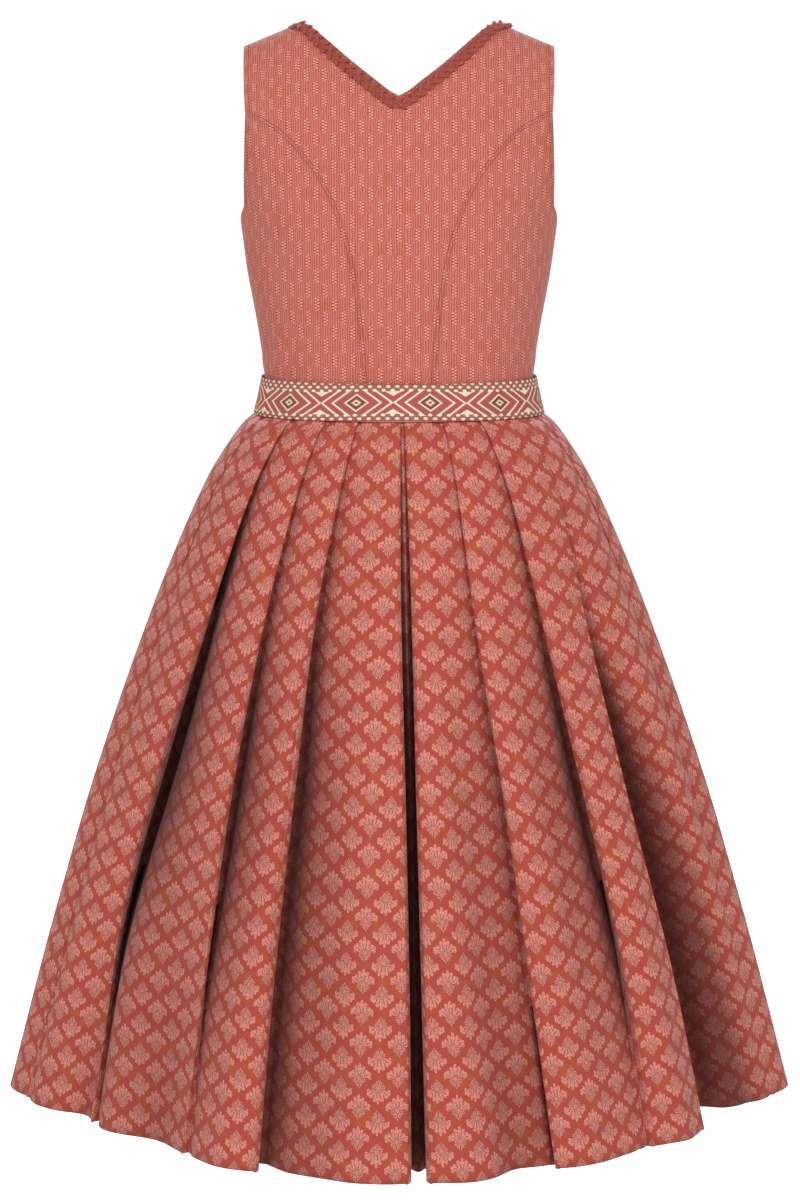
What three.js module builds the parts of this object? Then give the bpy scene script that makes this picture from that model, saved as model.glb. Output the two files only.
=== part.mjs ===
// A knee-length sleeveless dirndl dress, filled out as if worn: a princess-seamed bodice with a V at the
// back and a deeper round neckline in front, a braid round the neckline, a woven waistband and a skirt
// of knife pleats turned towards an inverted box pleat at the centre.
// Millimetres, +Z up. The photographed back faces -Y, the wearer's front faces +Y, and +X is the
// wearer's right. The origin is midway between the tops of the two shoulder straps.
import * as THREE from "three";

const wall = { bodice: 1.6, skirt: 1.2, band: 1.5 };
const seamGap = 0.3; // between two pieces sewn edge to edge
const layGap = 0.5; // between a piece and the cloth it lies on, where both are faceted
const waistSeam = 340; // depths below the strap tops
const bandTop = 322;
const bandBottom = 355;
const hem = 1001;
const hemRise = 13; // how much higher the hem lies at the two sides
const degrees = Math.PI / 180;
const sideTurn = Math.PI / 2; // turns round the body from the centre back
const centreFront = Math.PI;
const trimTurn = 0.0015; // half the gap between two skirt pieces at the waist, as a turn
const centreGap = 0.4; // from the centre front to the end of each front braid
const bodyRound = 0.82; // how round the body is in plan, where 1 is an ellipse and less is squarer

// The body line of the bodice, a row for each level: how far along the cloth from the shoulder seam,
// how far down, how far the cloth stands behind and before the shoulder line, and half its width.
const bodyLine = [
  { along: 0, down: 0, back: 0.8, front: 0.8, half: 178 },
  { along: 8, down: 1.5, back: 8, front: 8, half: 178 },
  { along: 20, down: 6, back: 20, front: 18, half: 177 },
  { along: 40, down: 18, back: 36, front: 31, half: 175 },
  { along: 70, down: 43, back: 56, front: 46, half: 171 },
  { along: 110, down: 78, back: 76, front: 64, half: 165 },
  { along: 150, down: 115, back: 90, front: 84, half: 157 },
  { along: 190, down: 153, back: 97, front: 101, half: 149.5 },
  { along: 222, down: 184, back: 99, front: 109, half: 144.5 },
  { along: 264, down: 225, back: 97, front: 108, half: 139 },
  { along: 320, down: 281, back: 93, front: 97, half: 128.8 },
  { along: 361, down: 322, back: 90.9, front: 90.9, half: 123.5 },
  { along: 379, down: waistSeam, back: 91.6, front: 91.6, half: 124.2 },
];

// The outer face of the waistband, a row for each level.
const bandLine = [
  { down: bandTop, half: 126.6, depth: 94.3 },
  { down: (bandTop + bandBottom) / 2, half: 129.9, depth: 97.3 },
  { down: bandBottom, half: 133.9, depth: 101.4 },
];
const bandColumns = 72;
const bandEndTurn = 0.2 * degrees; // from the centre front to each end of the band

// The skirt's plan at each level, on the crests of its pleats: half its width, half its depth, how
// round it is, where 1 is an ellipse and less is squarer, and how much it is pinched between its sides.
const skirtLine = [
  { down: waistSeam + seamGap, half: 124, depth: 91.4, round: bodyRound, pinch: 0 },
  { down: bandBottom, half: 130.6, depth: 98, round: bodyRound, pinch: 0 },
  { down: 363, half: 141, depth: 106, round: 0.84, pinch: 0 },
  { down: 382, half: 155.5, depth: 118, round: 0.87, pinch: 0 },
  { down: 419, half: 177.5, depth: 137, round: 0.9, pinch: 0 },
  { down: 494, half: 209.7, depth: 169, round: 0.96, pinch: 0.03 },
  { down: 569, half: 237.4, depth: 195, round: 1, pinch: 0.06 },
  { down: 644, half: 262.9, depth: 216, round: 1, pinch: 0.12 },
  { down: 720, half: 287, depth: 235, round: 1, pinch: 0.17 },
  { down: 797, half: 309, depth: 253, round: 1, pinch: 0.22 },
  { down: 873, half: 330, depth: 270, round: 1, pinch: 0.28 },
  { down: hem, half: 363, depth: 296, round: 1, pinch: 0.34 },
];
const skirtRows = [waistSeam + seamGap, 355, 363, 382, 419, 480, 550, 630, 720, 820, hem];

// The folds of the skirt, in the order of their turn. waist and hem: where the fold lies, as a share of
// the half width. over: which side lies on top, -1 for the left. lap: how far the under layer runs back
// under it, less than nothing where the fold has opened to a valley. step: how far the right side
// stands out past the left. lap and step are at five even levels from the waistband to the hem.
const backFolds = [
  { waist: -0.94, hem: -0.955, over: -1, lap: [7, 5, 3, 2, 2], step: [-3.8, -3.8, -3.8, -3.8, -3.8] },
  { waist: -0.757, hem: -0.81, over: -1, lap: [12, 9, -4, -14, -18], step: [-3.4, -10, -30, -20, -5] },
  { waist: -0.51, hem: -0.55, over: -1, lap: [12, 9, 3, -8, -14], step: [-3.4, -8, -17, -14, -3] },
  { waist: -0.285, hem: -0.366, over: -1, lap: [12, 10, 6, 5, 4], step: [-3.4, -12, -20, -27, -30] },
  { waist: 0.008, hem: 0.035, over: -1, lap: [12, 12, 10, 8, 8], step: [-3.4, -14, -26, -36, -40] },
  { waist: 0.035, hem: 0.07, over: 1, lap: [12, 12, 10, 8, 8], step: [3.4, 14, 26, 36, 40] },
  { waist: 0.305, hem: 0.407, over: 1, lap: [12, 8, 5, 4, 4], step: [3.4, 5, 8, 10, 12] },
  { waist: 0.57, hem: 0.62, over: 1, lap: [12, 9, 3, -8, -14], step: [3.4, 8, 20, 16, 3] },
  { waist: 0.833, hem: 0.8, over: 1, lap: [12, -8, -11, -16, -20], step: [3.8, 4, -22, -46, -56] },
  { waist: 0.955, hem: 0.965, over: 1, lap: [7, 5, 3, 2, 2], step: [3.8, 3.8, 3.8, 3.8, 3.8] },
];
const frontFoldsRight = [
  { waist: 0.93, hem: 0.95, over: -1, lap: [7, 5, 3, 2, 2], step: [-3.8, -3.8, -3.8, -3.8, -3.8] },
  { waist: 0.78, hem: 0.79, over: -1, lap: [12, 9, 2, -8, -14], step: [-3.4, -9, -24, -34, -38] },
  { waist: 0.53, hem: 0.55, over: -1, lap: [12, 9, 5, 4, 3], step: [-3.4, -8, -17, -22, -24] },
  { waist: 0.27, hem: 0.33, over: -1, lap: [12, 10, 6, 5, 4], step: [-3.4, -9, -18, -25, -28] },
  { waist: 0.014, hem: 0.02, over: -1, lap: [12, 12, 10, 8, 8], step: [-3.4, -13, -24, -34, -38] },
];
const frontFoldsLeft = frontFoldsRight.toReversed().map((fold) => ({
  waist: -fold.waist,
  hem: -fold.hem,
  over: -fold.over,
  lap: fold.lap,
  step: fold.step.map((out) => -out),
}));
const tiltAt = { waist: 14, hem: 80 }; // how far from a fold its under panel comes back out
const tiltStart = 0.25; // the share of that way over which the under panel still lies deepest
const placeCurve = 0.8; // below 1, a fold moves to its place at the hem mostly in its upper part
const valleyDepth = 0.5; // how deep an opened fold is, as a share of how far it has opened
const leanShare = 0.15; // how much of its step a fold falls across its middle layer
const leanLap = 4; // the lap from which the middle layer lies level
const largestBulge = 4; // how far the round edge of a fold reaches past its layers
// Soft hollows between the folds of the back: their place, width and depth at the same five levels.
const backHollows = [
  { waist: -0.81, hem: -0.83, width: 26, depth: [0, 0, 6, 16, 24] },
  { waist: -0.62, hem: -0.64, width: 44, depth: [0, 0, 6, 18, 26] },
  { waist: 0.24, hem: 0.3, width: 30, depth: [0, 0, 4, 12, 18] },
];

// Outlines of the bodice pieces, drawn flat from behind or before: x across, down from the strap tops.
const strap = { inner: [88, 0], outer: [141, 22] };
const dropFades = { from: 20, to: 150 }; // how far along the cloth the shoulder's slope dies away
const backNeck = [[0, 65.5], [9, 60.5], [20, 52], [41.6, 35.5], [63.3, 17], [78, 5], [88, 0]];
const backSeam = [
  [30.5, waistSeam], [31.7, 318], [34, 287], [38.5, 247], [44.5, 209], [53.5, 178], [67, 147], [85, 121],
  [110, 96], [138.5, 81],
];
const backArmhole = {
  upper: [[138.5, 81], [140, 60], [141, 22]],
  lower: [[138.5, 81], [140.2, 135], [140.8, 165]],
};
const frontNeck = [[0, 150], [20, 147], [45, 137], [66, 114], [78, 80], [84, 40], [88, 0]];
const frontSeam = [
  [46, waistSeam], [48, 318], [54, 285], [63, 250], [70, 215], [75, 190], [84, 160], [98, 134], [121, 108],
];
const frontArmhole = {
  upper: [[121, 108], [124, 70], [141, 22]],
  lower: [[121, 108], [127, 140], [137, 168]],
};
const sideSeam = [[90, waistSeam], [90, 281], [90, 225], [90, 184]]; // turn in degrees, down
// The rows of each bodice panel: up the centre front or back to the neck, up the princess seam to the
// armhole, and in all.
const backRows = { centre: 9, seam: 10, total: 15, columns: 6 };
const frontRows = { centre: 6, seam: 10, total: 15, columns: 5 };
const sideRows = 10;
const mergeDigits = 4; // decimals to which two points are the same
// The neck braid: its plaits' pitch, its distance from the neck edge, its half width, its heights, and
// how much narrower and lower it is between two plaits.
const braid = { plait: 6.6, inset: 3.4, half: 5, crown: 2.4, edge: 1.1, waist: 0.22 };
const bust = { out: 13, x: 70, down: 200, wide: 36, tall: 46 };

// A smooth curve through a table: the column named output where the column named input reads at.
function read(rows, input, output, at) {
  const last = rows.length - 1;
  let i = 0;
  while (i < last - 1 && rows[i + 1][input] < at) i++;
  const slope = (k) => {
    const a = rows[Math.max(k - 1, 0)];
    const b = rows[Math.min(k + 1, last)];
    return (b[output] - a[output]) / (b[input] - a[input]);
  };
  const span = rows[i + 1][input] - rows[i][input];
  const s = THREE.MathUtils.clamp((at - rows[i][input]) / span, 0, 1);
  const [p, q] = [rows[i][output], rows[i + 1][output]];
  const [m, n] = [slope(i) * span, slope(i + 1) * span];
  return p + s * (m + s * (3 * (q - p) - 2 * m - n + s * (m + n - 2 * (q - p))));
}

// A list of values at even levels, read at a share from 0 to 1.
function readLevels(values, share) {
  const place = THREE.MathUtils.clamp(share, 0, 1) * (values.length - 1);
  const i = Math.min(Math.floor(place), values.length - 2);
  return THREE.MathUtils.lerp(values[i], values[i + 1], place - i);
}

const smooth = THREE.MathUtils.smoothstep;

// How much lower the cloth lies towards the shoulder's end than at the neck.
function shoulderDrop(x, along) {
  const [inner, outer] = [strap.inner, strap.outer];
  const share = Math.max(0, (Math.abs(x) - inner[0]) / (outer[0] - inner[0]));
  return outer[1] * share * (1 - smooth(along, dropFades.from, dropFades.to));
}

// A point of the bodice's outer face. side is -1 behind and 1 before, and turn runs from 0 at the
// centre to a quarter turn at the side seam.
function bodicePoint(side, turn, along) {
  const half = read(bodyLine, "along", "half", along);
  const down = read(bodyLine, "along", "down", along);
  const x = half * Math.sin(turn);
  const round = Math.pow(Math.max(Math.cos(turn), 0), bodyRound);
  let depth = read(bodyLine, "along", side < 0 ? "back" : "front", along);
  if (side > 0) {
    const across = (Math.abs(x) - bust.x) / bust.wide;
    const upright = (down - bust.down) / bust.tall;
    depth += bust.out * Math.exp(-across * across - upright * upright);
  }
  return new THREE.Vector3(x, side * depth * round, -down - shoulderDrop(x, along));
}

// The along and turn of the point that lies at x across and down.
function placeAt(x, down) {
  let [low, high] = [0, bodyLine[bodyLine.length - 1].along];
  for (let i = 0; i < 40; i++) {
    const middle = (low + high) / 2;
    const found = read(bodyLine, "along", "down", middle) + shoulderDrop(x, middle);
    if (found < down) low = middle;
    else high = middle;
  }
  const along = low;
  const half = read(bodyLine, "along", "half", along);
  return new THREE.Vector2(Math.asin(THREE.MathUtils.clamp(x / half, -1, 1)), along);
}

// Even places along an outline drawn in x and down, as turn and along.
function outline(points, count) {
  const curve = new THREE.SplineCurve(points.map((p) => new THREE.Vector2(...p)));
  return curve.getSpacedPoints(count).map((p) => placeAt(p.x, p.y));
}

// One closed wall from grids of outer points and the matching inner points. Points that lie in the
// same place are joined, and the walls between the two layers stand on the edges left open.
function closedWall(outerGrids, innerGrids) {
  const found = new Map();
  const outer = [];
  const inner = [];
  const faces = [];
  outerGrids.forEach((grid, g) => {
    const indexed = grid.map((row, r) => row.map((point, c) => {
      const key = point.toArray().map((value) => value.toFixed(mergeDigits)).join();
      if (!found.has(key)) {
        found.set(key, outer.length);
        outer.push(point);
        inner.push(innerGrids[g][r][c]);
      }
      return found.get(key);
    }));
    for (let r = 0; r + 1 < indexed.length; r++) {
      for (let c = 0; c + 1 < indexed[r].length; c++) {
        const [a, b] = [indexed[r][c], indexed[r][c + 1]];
        const [d, e] = [indexed[r + 1][c + 1], indexed[r + 1][c]];
        faces.push([a, b, d], [a, d, e]);
      }
    }
  });
  const count = outer.length;
  const edges = new Set(faces.flatMap(([a, b, c]) => [`${a},${b}`, `${b},${c}`, `${c},${a}`]));
  const index = [];
  for (const [a, b, c] of faces) {
    index.push(a, b, c, a + count, c + count, b + count);
    for (const [from, to] of [[a, b], [b, c], [c, a]]) {
      if (edges.has(`${to},${from}`)) continue;
      index.push(to, from, from + count, to, from + count, to + count);
    }
  }
  const geometry = new THREE.BufferGeometry().setFromPoints([...outer, ...inner]);
  geometry.setIndex(index);
  return turnOutwards(geometry);
}

// Turns every face round if the closed surface encloses a negative volume.
function turnOutwards(geometry) {
  const place = geometry.getAttribute("position");
  const index = geometry.getIndex().array;
  const corner = (i) => new THREE.Vector3().fromBufferAttribute(place, index[i]);
  let volume = 0;
  for (let i = 0; i < index.length; i += 3)
    volume += corner(i).dot(corner(i + 1).cross(corner(i + 2)));
  if (volume < 0)
    for (let i = 0; i < index.length; i += 3)
      [index[i + 1], index[i + 2]] = [index[i + 2], index[i + 1]];
  geometry.computeVertexNormals();
  return geometry;
}

// The unit normal of the bodice's outer face, pointing out.
function bodiceNormal(side, turn, along) {
  const turnStep = 0.002;
  const limit = bodyLine[bodyLine.length - 1].along;
  const inTurn = THREE.MathUtils.clamp(turn, -89.5 * degrees, 89.5 * degrees);
  const [low, high] = [Math.max(along - 1, 0), Math.min(along + 1, limit)];
  const right = bodicePoint(side, inTurn + turnStep, along);
  const across = right.sub(bodicePoint(side, inTurn - turnStep, along));
  const downwards = bodicePoint(side, inTurn, high).sub(bodicePoint(side, inTurn, low));
  return across.cross(downwards).normalize().multiplyScalar(side);
}

// A grid of places between four outlines given as lists of turn and along: bottom and top run across,
// left and right run from the bottom to the top.
function fillOutlines({ bottom, top, left, right }) {
  const columns = bottom.length - 1;
  const rows = left.length - 1;
  return left.map((_, r) => bottom.map((_, c) => {
    const [u, v] = [c / columns, r / rows];
    const blend = (axis) =>
      (1 - v) * bottom[c][axis] + v * top[c][axis] + (1 - u) * left[r][axis] + u * right[r][axis] -
      (1 - u) * (1 - v) * bottom[0][axis] - u * (1 - v) * bottom[columns][axis] -
      (1 - u) * v * top[0][axis] - u * v * top[columns][axis];
    return new THREE.Vector2(blend("x"), blend("y"));
  }));
}

// A grid of places on straight lines from one outline to the other.
function fillBetween(left, right, columns) {
  return left.map((place, r) =>
    Array.from({ length: columns + 1 }, (_, c) => place.clone().lerp(right[r], c / columns)));
}

// Moves a grid's edges in by half the seam gap, so that two panels don't touch. open names the sides
// that are sewn to no other grid of the same panel.
function trimPlaces(side, grid, open) {
  const last = grid.length - 1;
  const end = grid[0].length - 1;
  const trimmed = grid.map((row) => row.map((place) => place.clone()));
  const pull = (place, towards) => {
    const [from, to] = [place, towards].map((at) => bodicePoint(side, at.x, at.y));
    place.lerp(towards, seamGap / 2 / from.distanceTo(to));
  };
  trimmed.forEach((row, r) => {
    if (open.left(r)) pull(row[0], grid[r][1]);
    pull(row[end], grid[r][end - 1]);
  });
  trimmed[0].forEach((place, c) => pull(place, grid[1][c]));
  trimmed[last].forEach((place, c) => pull(place, grid[last - 1][c]));
  return trimmed;
}

// A bodice piece from grids of places.
function bodicePiece(side, grids) {
  const outer = grids.map((grid) => grid.map((row) => row.map((at) => bodicePoint(side, at.x, at.y))));
  const inner = outer.map((grid, g) => grid.map((row, r) => row.map((point, c) => {
    const { x, y } = grids[g][r][c];
    return point.clone().addScaledVector(bodiceNormal(side, x, y), -wall.bodice);
  })));
  return closedWall(outer, inner);
}

// The bottom edge between two places on the waist seam.
function waistEdge(from, to, count) {
  return Array.from({ length: count + 1 }, (_, i) => from.clone().lerp(to, i / count));
}

const join = (...lists) => lists.reduce((all, list) => [...all, ...list.slice(all.length ? 1 : 0)], []);

// The inner and outer edge of a centre panel's one half, from the waist to the shoulder.
function centreHalf(side, neck, seam, armhole, rows) {
  const upCentre = waistEdge(placeAt(0, waistSeam), placeAt(0, neck[0][1]), rows.centre);
  const left = join(upCentre, outline(neck, rows.total - rows.centre));
  const right = join(outline(seam, rows.seam), outline(armhole.upper, rows.total - rows.seam));
  return fillBetween(left, right, rows.columns);
}

const mirrorPlaces = (grid) => grid.map((row) => row.map((at) => new THREE.Vector2(-at.x, at.y)).reverse());

// The back centre panel: two mirrored halves in one piece, joined up to the point of the V.
function backCentre() {
  const rows = backRows;
  const grid = centreHalf(-1, backNeck, backSeam, backArmhole, rows);
  const half = trimPlaces(-1, grid, { left: (r) => r > rows.centre });
  return bodicePiece(-1, [mirrorPlaces(half), half]);
}

function frontCentre(mirror) {
  const grid = centreHalf(1, frontNeck, frontSeam, frontArmhole, frontRows);
  const half = trimPlaces(1, grid, { left: () => true });
  return bodicePiece(1, [mirror > 0 ? half : mirrorPlaces(half)]);
}

function sidePanel(side, seam, armhole, mirror) {
  const left = outline(seam, sideRows);
  const right = new THREE.SplineCurve(sideSeam.map((p) => new THREE.Vector2(...p)))
    .getSpacedPoints(sideRows)
    .map((p) => new THREE.Vector2(p.x * degrees, placeAt(0, p.y).y));
  const top = [...outline(armhole.lower, 4), right[sideRows]];
  const bottom = waistEdge(left[0], right[0], top.length - 1);
  const grid = trimPlaces(side, fillOutlines({ bottom, top, left, right }), { left: () => true });
  return bodicePiece(side, [mirror > 0 ? grid : mirrorPlaces(grid)]);
}

// Moves a list of places on the bodice into the cloth, at right angles to the line they make.
function moveInto(side, places, distance) {
  return places.map((place, i) => {
    const before = places[Math.max(i - 1, 0)];
    const after = places[Math.min(i + 1, places.length - 1)];
    const turnStep = 0.01;
    const here = bodicePoint(side, place.x, place.y);
    const across = bodicePoint(side, place.x + turnStep, place.y).distanceTo(here) / turnStep;
    const way = new THREE.Vector2((after.x - before.x) * across, after.y - before.y).normalize();
    const along = Math.max(place.y + way.x * distance, 0);
    return new THREE.Vector2(place.x - (way.y * distance) / across, along);
  });
}

// A length of plaited braid that lies beside a neck edge. The edge is given in x and down, from the
// lower x to the higher.
function neckBraid(side, edge) {
  const curve = new THREE.SplineCurve(edge.map((p) => new THREE.Vector2(...p)));
  const count = Math.round(curve.getLength() / (braid.plait / 2));
  const places = curve.getSpacedPoints(count).map((p) => placeAt(p.x, p.y));
  const lines = [-1, 0, 1].map((across) => {
    const swell = (i) => 1 - (i % 2) * braid.waist;
    const wide = moveInto(side, places, braid.inset + braid.half * (1 + across));
    const narrow = moveInto(side, places, braid.inset + braid.half * (1 + across * (1 - braid.waist)));
    return places.map((_, i) => ({
      place: i % 2 ? narrow[i] : wide[i],
      height: (across === 0 ? braid.crown : braid.edge) * swell(i),
    }));
  });
  const raise = ({ place, height }) =>
    bodicePoint(side, place.x, place.y).addScaledVector(bodiceNormal(side, place.x, place.y), height);
  const layer = (share) =>
    places.map((_, i) =>
      lines.map((line) => raise({ ...line[i], height: line[i].height * share + layGap })));
  return closedWall([layer(1)], [layer(0)]);
}

// The woven band, open at the centre front, where it has its two ends.
function waistband() {
  const ring = (shrink) =>
    bandLine.map(({ down, half, depth }) =>
      Array.from({ length: bandColumns + 1 }, (_, i) => {
        const turn = ((2 * i) / bandColumns - 1) * (centreFront - bandEndTurn);
        const round = Math.sign(Math.cos(turn)) * Math.pow(Math.abs(Math.cos(turn)), bodyRound);
        return new THREE.Vector3((half - shrink) * Math.sin(turn), -(depth - shrink) * round, -down);
      }));
  return closedWall([ring(0)], [ring(wall.band)]);
}

// The skirt's plan on its crests, at a turn from the centre back: a point, the way round from it, the
// way out, and the length of cloth for each radian.
function skirtPlan(turn, down) {
  const half = read(skirtLine, "down", "half", down);
  const depth = read(skirtLine, "down", "depth", down);
  const round = read(skirtLine, "down", "round", down);
  const pinch = read(skirtLine, "down", "pinch", down);
  const pointAt = (angle) => {
    const [sine, cosine] = [Math.sin(angle), Math.cos(angle)];
    const deep = Math.sign(cosine) * Math.abs(cosine) ** round * (1 - pinch * sine ** 2);
    return new THREE.Vector2(half * sine, -depth * deep);
  };
  const step = 0.01;
  const tangent = pointAt(turn + step).sub(pointAt(turn - step));
  const speed = tangent.length() / (2 * step);
  tangent.normalize();
  return { point: pointAt(turn), normal: new THREE.Vector2(tangent.y, -tangent.x), speed };
}

// How far a fold lies round the skirt: front places are measured from the centre front.
function foldTurn(fold, share, atFront) {
  const place = THREE.MathUtils.lerp(fold.waist, fold.hem, share ** placeCurve);
  const turn = Math.asin(place);
  return atFront ? Math.PI - turn : turn;
}

// One level of a stretch of skirt as an open line in the plan, from its first fold to its last. The
// ends are turns from the centre back.
function skirtSection(down, folds, hollows, atFront, ends) {
  const share = THREE.MathUtils.clamp((down - bandBottom) / (hem - bandBottom), 0, 1);
  const tilt = THREE.MathUtils.lerp(tiltAt.waist, tiltAt.hem, share);
  const placed = folds.map((fold) => {
    const turn = foldTurn(fold, share, atFront);
    const { speed } = skirtPlan(turn, down);
    const lap = readLevels(fold.lap, share);
    const first = fold.over > 0 ? lap : 0;
    const second = fold.over > 0 ? 0 : -lap;
    const leftEnd = turn + Math.min(first, 0) / speed;
    const rightStart = turn + Math.max(second, 0) / speed;
    const step = readLevels(fold.step, share);
    return { turn, speed, over: fold.over, lap, first, second, leftEnd, rightStart, step };
  });
  const soft = hollows.map((hollow) => {
    const turn = foldTurn(hollow, share, atFront);
    const { speed } = skirtPlan(turn, down);
    return { turn, reach: hollow.width / speed, depth: readLevels(hollow.depth, share) };
  });
  const hollowAt = (turn) =>
    soft.reduce((sum, { turn: at, reach, depth }) =>
      sum + depth * Math.exp(-(((turn - at) / reach) ** 2)), 0);
  // How deep the cloth lies at a turn, near a fold whose side it is on lies under.
  const sinkBeside = (turn, fold, side) => {
    if (!fold || fold.step * side > 0) return 0;
    const away = Math.abs(turn - fold.turn) * fold.speed;
    return Math.abs(fold.step) * (1 - smooth(away, tilt * tiltStart, tilt));
  };
  const line = [];
  const addPanel = (from, to, shares, leftFold, rightFold) => {
    for (const s of shares) {
      const turn = THREE.MathUtils.lerp(from, to, s);
      const { point, normal } = skirtPlan(turn, down);
      const sink = Math.max(sinkBeside(turn, leftFold, 1), sinkBeside(turn, rightFold, -1));
      line.push(point.addScaledVector(normal, -sink - hollowAt(turn)));
    }
  };
  const addFold = ({ turn, speed, over, lap, first, second, step }) => {
    const base = -hollowAt(turn);
    const left = base - Math.max(step, 0);
    const right = base - Math.max(-step, 0);
    const middle = (left + right) / 2 - Math.max(-lap, 0) * valleyDepth;
    const bulge = THREE.MathUtils.clamp(Math.min(Math.abs(step) / 4, lap / 2), 0, largestBulge);
    const lean = (left - right) * leanShare * (1 - smooth(lap, 0, leanLap));
    const spread = Math.max(-lap, 0) / 5;
    const [firstRound, secondRound] = over > 0 ? [first + bulge, second] : [first, second - bulge];
    const [firstFlat, secondFlat] = over > 0 ? [first, second + bulge] : [first - bulge, second];
    const corners = [
      [firstFlat, left],
      [firstRound + spread, (left + middle + lean) / 2],
      [firstFlat + 2 * spread, middle + lean],
      [secondFlat - 2 * spread, middle - lean],
      [secondRound - spread, (middle - lean + right) / 2],
      [secondFlat, right],
    ];
    for (const [across, out] of corners) {
      const { point, normal } = skirtPlan(turn + across / speed, down);
      line.push(point.addScaledVector(normal, out));
    }
  };
  addPanel(ends[0], placed[0].leftEnd, [0, 0.35, 0.7], null, placed[0]);
  placed.forEach((fold, k) => {
    addFold(fold);
    const next = placed[k + 1];
    if (next) addPanel(fold.rightStart, next.leftEnd, [0.14, 0.38, 0.62, 0.86], fold, next);
  });
  const final = placed[placed.length - 1];
  addPanel(final.rightStart, ends[1], [0.3, 0.65, 1], final, null);
  return line;
}

// An open line moved sideways, to the right of its own direction, by a distance.
function moveSideways(line, distance) {
  return line.map((p, i) => {
    const before = p.clone().sub(line[Math.max(i - 1, 0)]);
    const after = line[Math.min(i + 1, line.length - 1)].clone().sub(p);
    const along = before.normalize().add(after.normalize()).normalize();
    const turned = new THREE.Vector2(along.y, -along.x);
    const last = i === 0 || i === line.length - 1;
    const corner = last ? 1 : Math.max(0.7, Math.abs(along.dot(after)));
    return p.clone().addScaledVector(turned, distance / corner);
  });
}

function skirtPiece(folds, hollows, atFront, ends) {
  const lift = (line, down) => {
    const share = Math.max(0, (down - bandBottom) / (hem - bandBottom));
    const half = read(skirtLine, "down", "half", down);
    return line.map((p) => new THREE.Vector3(p.x, p.y, hemRise * share * (p.x / half) ** 2 - down));
  };
  const sections = skirtRows.map((down) => skirtSection(down, folds, hollows, atFront, ends));
  const outer = sections.map((line, r) => lift(moveSideways(line, wall.skirt / 2), skirtRows[r]));
  const inner = sections.map((line, r) => lift(moveSideways(line, -wall.skirt / 2), skirtRows[r]));
  return closedWall([outer], [inner]);
}

function material(colour, roughness) {
  return new THREE.MeshStandardMaterial({ color: colour, roughness, metalness: 0 });
}

const bodiceCloth = material(0xc5756a, 0.85);
const skirtCloth = material(0xbb6a5c, 0.8);
const braidCord = material(0xa8563f, 0.9);
const bandCloth = material(0xd9a08c, 0.85);

const dress = new THREE.Group();
function addPiece(name, geometry, cloth) {
  const mesh = new THREE.Mesh(geometry, cloth);
  mesh.name = name;
  dress.add(mesh);
}

addPiece("bodice_back_centre", backCentre(), bodiceCloth);
for (const [hand, mirror] of [["right", 1], ["left", -1]]) {
  addPiece(`bodice_back_side_${hand}`, sidePanel(-1, backSeam, backArmhole, mirror), bodiceCloth);
  addPiece(`bodice_front_side_${hand}`, sidePanel(1, frontSeam, frontArmhole, mirror), bodiceCloth);
  addPiece(`bodice_front_centre_${hand}`, frontCentre(mirror), bodiceCloth);
}
const mirrored = (points) => points.map(([x, down]) => [-x, down]);
const backEdge = [...mirrored(backNeck).reverse(), ...backNeck.slice(1)];
const frontEdge = [[centreGap, frontNeck[0][1]], ...frontNeck.slice(1)];
addPiece("neck_braid_back", neckBraid(-1, backEdge), braidCord);
addPiece("neck_braid_front_right", neckBraid(1, frontEdge), braidCord);
addPiece("neck_braid_front_left", neckBraid(1, mirrored(frontEdge).reverse()), braidCord);
addPiece("waistband", waistband(), bandCloth);

// Where each skirt piece starts and ends, as turns from the centre back.
const backEnds = [-sideTurn + trimTurn, sideTurn - trimTurn];
const rightEnds = [sideTurn + trimTurn, centreFront - trimTurn];
const leftEnds = [centreFront + trimTurn, 3 * sideTurn - trimTurn];
addPiece("skirt_back", skirtPiece(backFolds, backHollows, false, backEnds), skirtCloth);
addPiece("skirt_front_right", skirtPiece(frontFoldsRight, [], true, rightEnds), skirtCloth);
addPiece("skirt_front_left", skirtPiece(frontFoldsLeft, [], true, leftEnds), skirtCloth);

export default dress;
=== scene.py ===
import math

import bmesh
import bpy
import numpy as np
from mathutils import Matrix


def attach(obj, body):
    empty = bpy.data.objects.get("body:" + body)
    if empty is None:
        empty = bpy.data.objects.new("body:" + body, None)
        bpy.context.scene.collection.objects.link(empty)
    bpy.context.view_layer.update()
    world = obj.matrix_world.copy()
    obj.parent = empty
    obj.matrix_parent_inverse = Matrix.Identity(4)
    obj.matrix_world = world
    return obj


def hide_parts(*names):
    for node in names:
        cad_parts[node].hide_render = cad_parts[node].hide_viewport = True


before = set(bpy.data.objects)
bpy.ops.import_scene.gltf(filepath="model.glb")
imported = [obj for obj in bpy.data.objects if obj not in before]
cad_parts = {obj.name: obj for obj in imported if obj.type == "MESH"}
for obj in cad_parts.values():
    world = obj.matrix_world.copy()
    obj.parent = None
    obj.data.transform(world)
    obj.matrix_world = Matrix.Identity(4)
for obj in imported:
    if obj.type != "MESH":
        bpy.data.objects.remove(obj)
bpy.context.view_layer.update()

scene = bpy.context.scene
mm = 0.001


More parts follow.
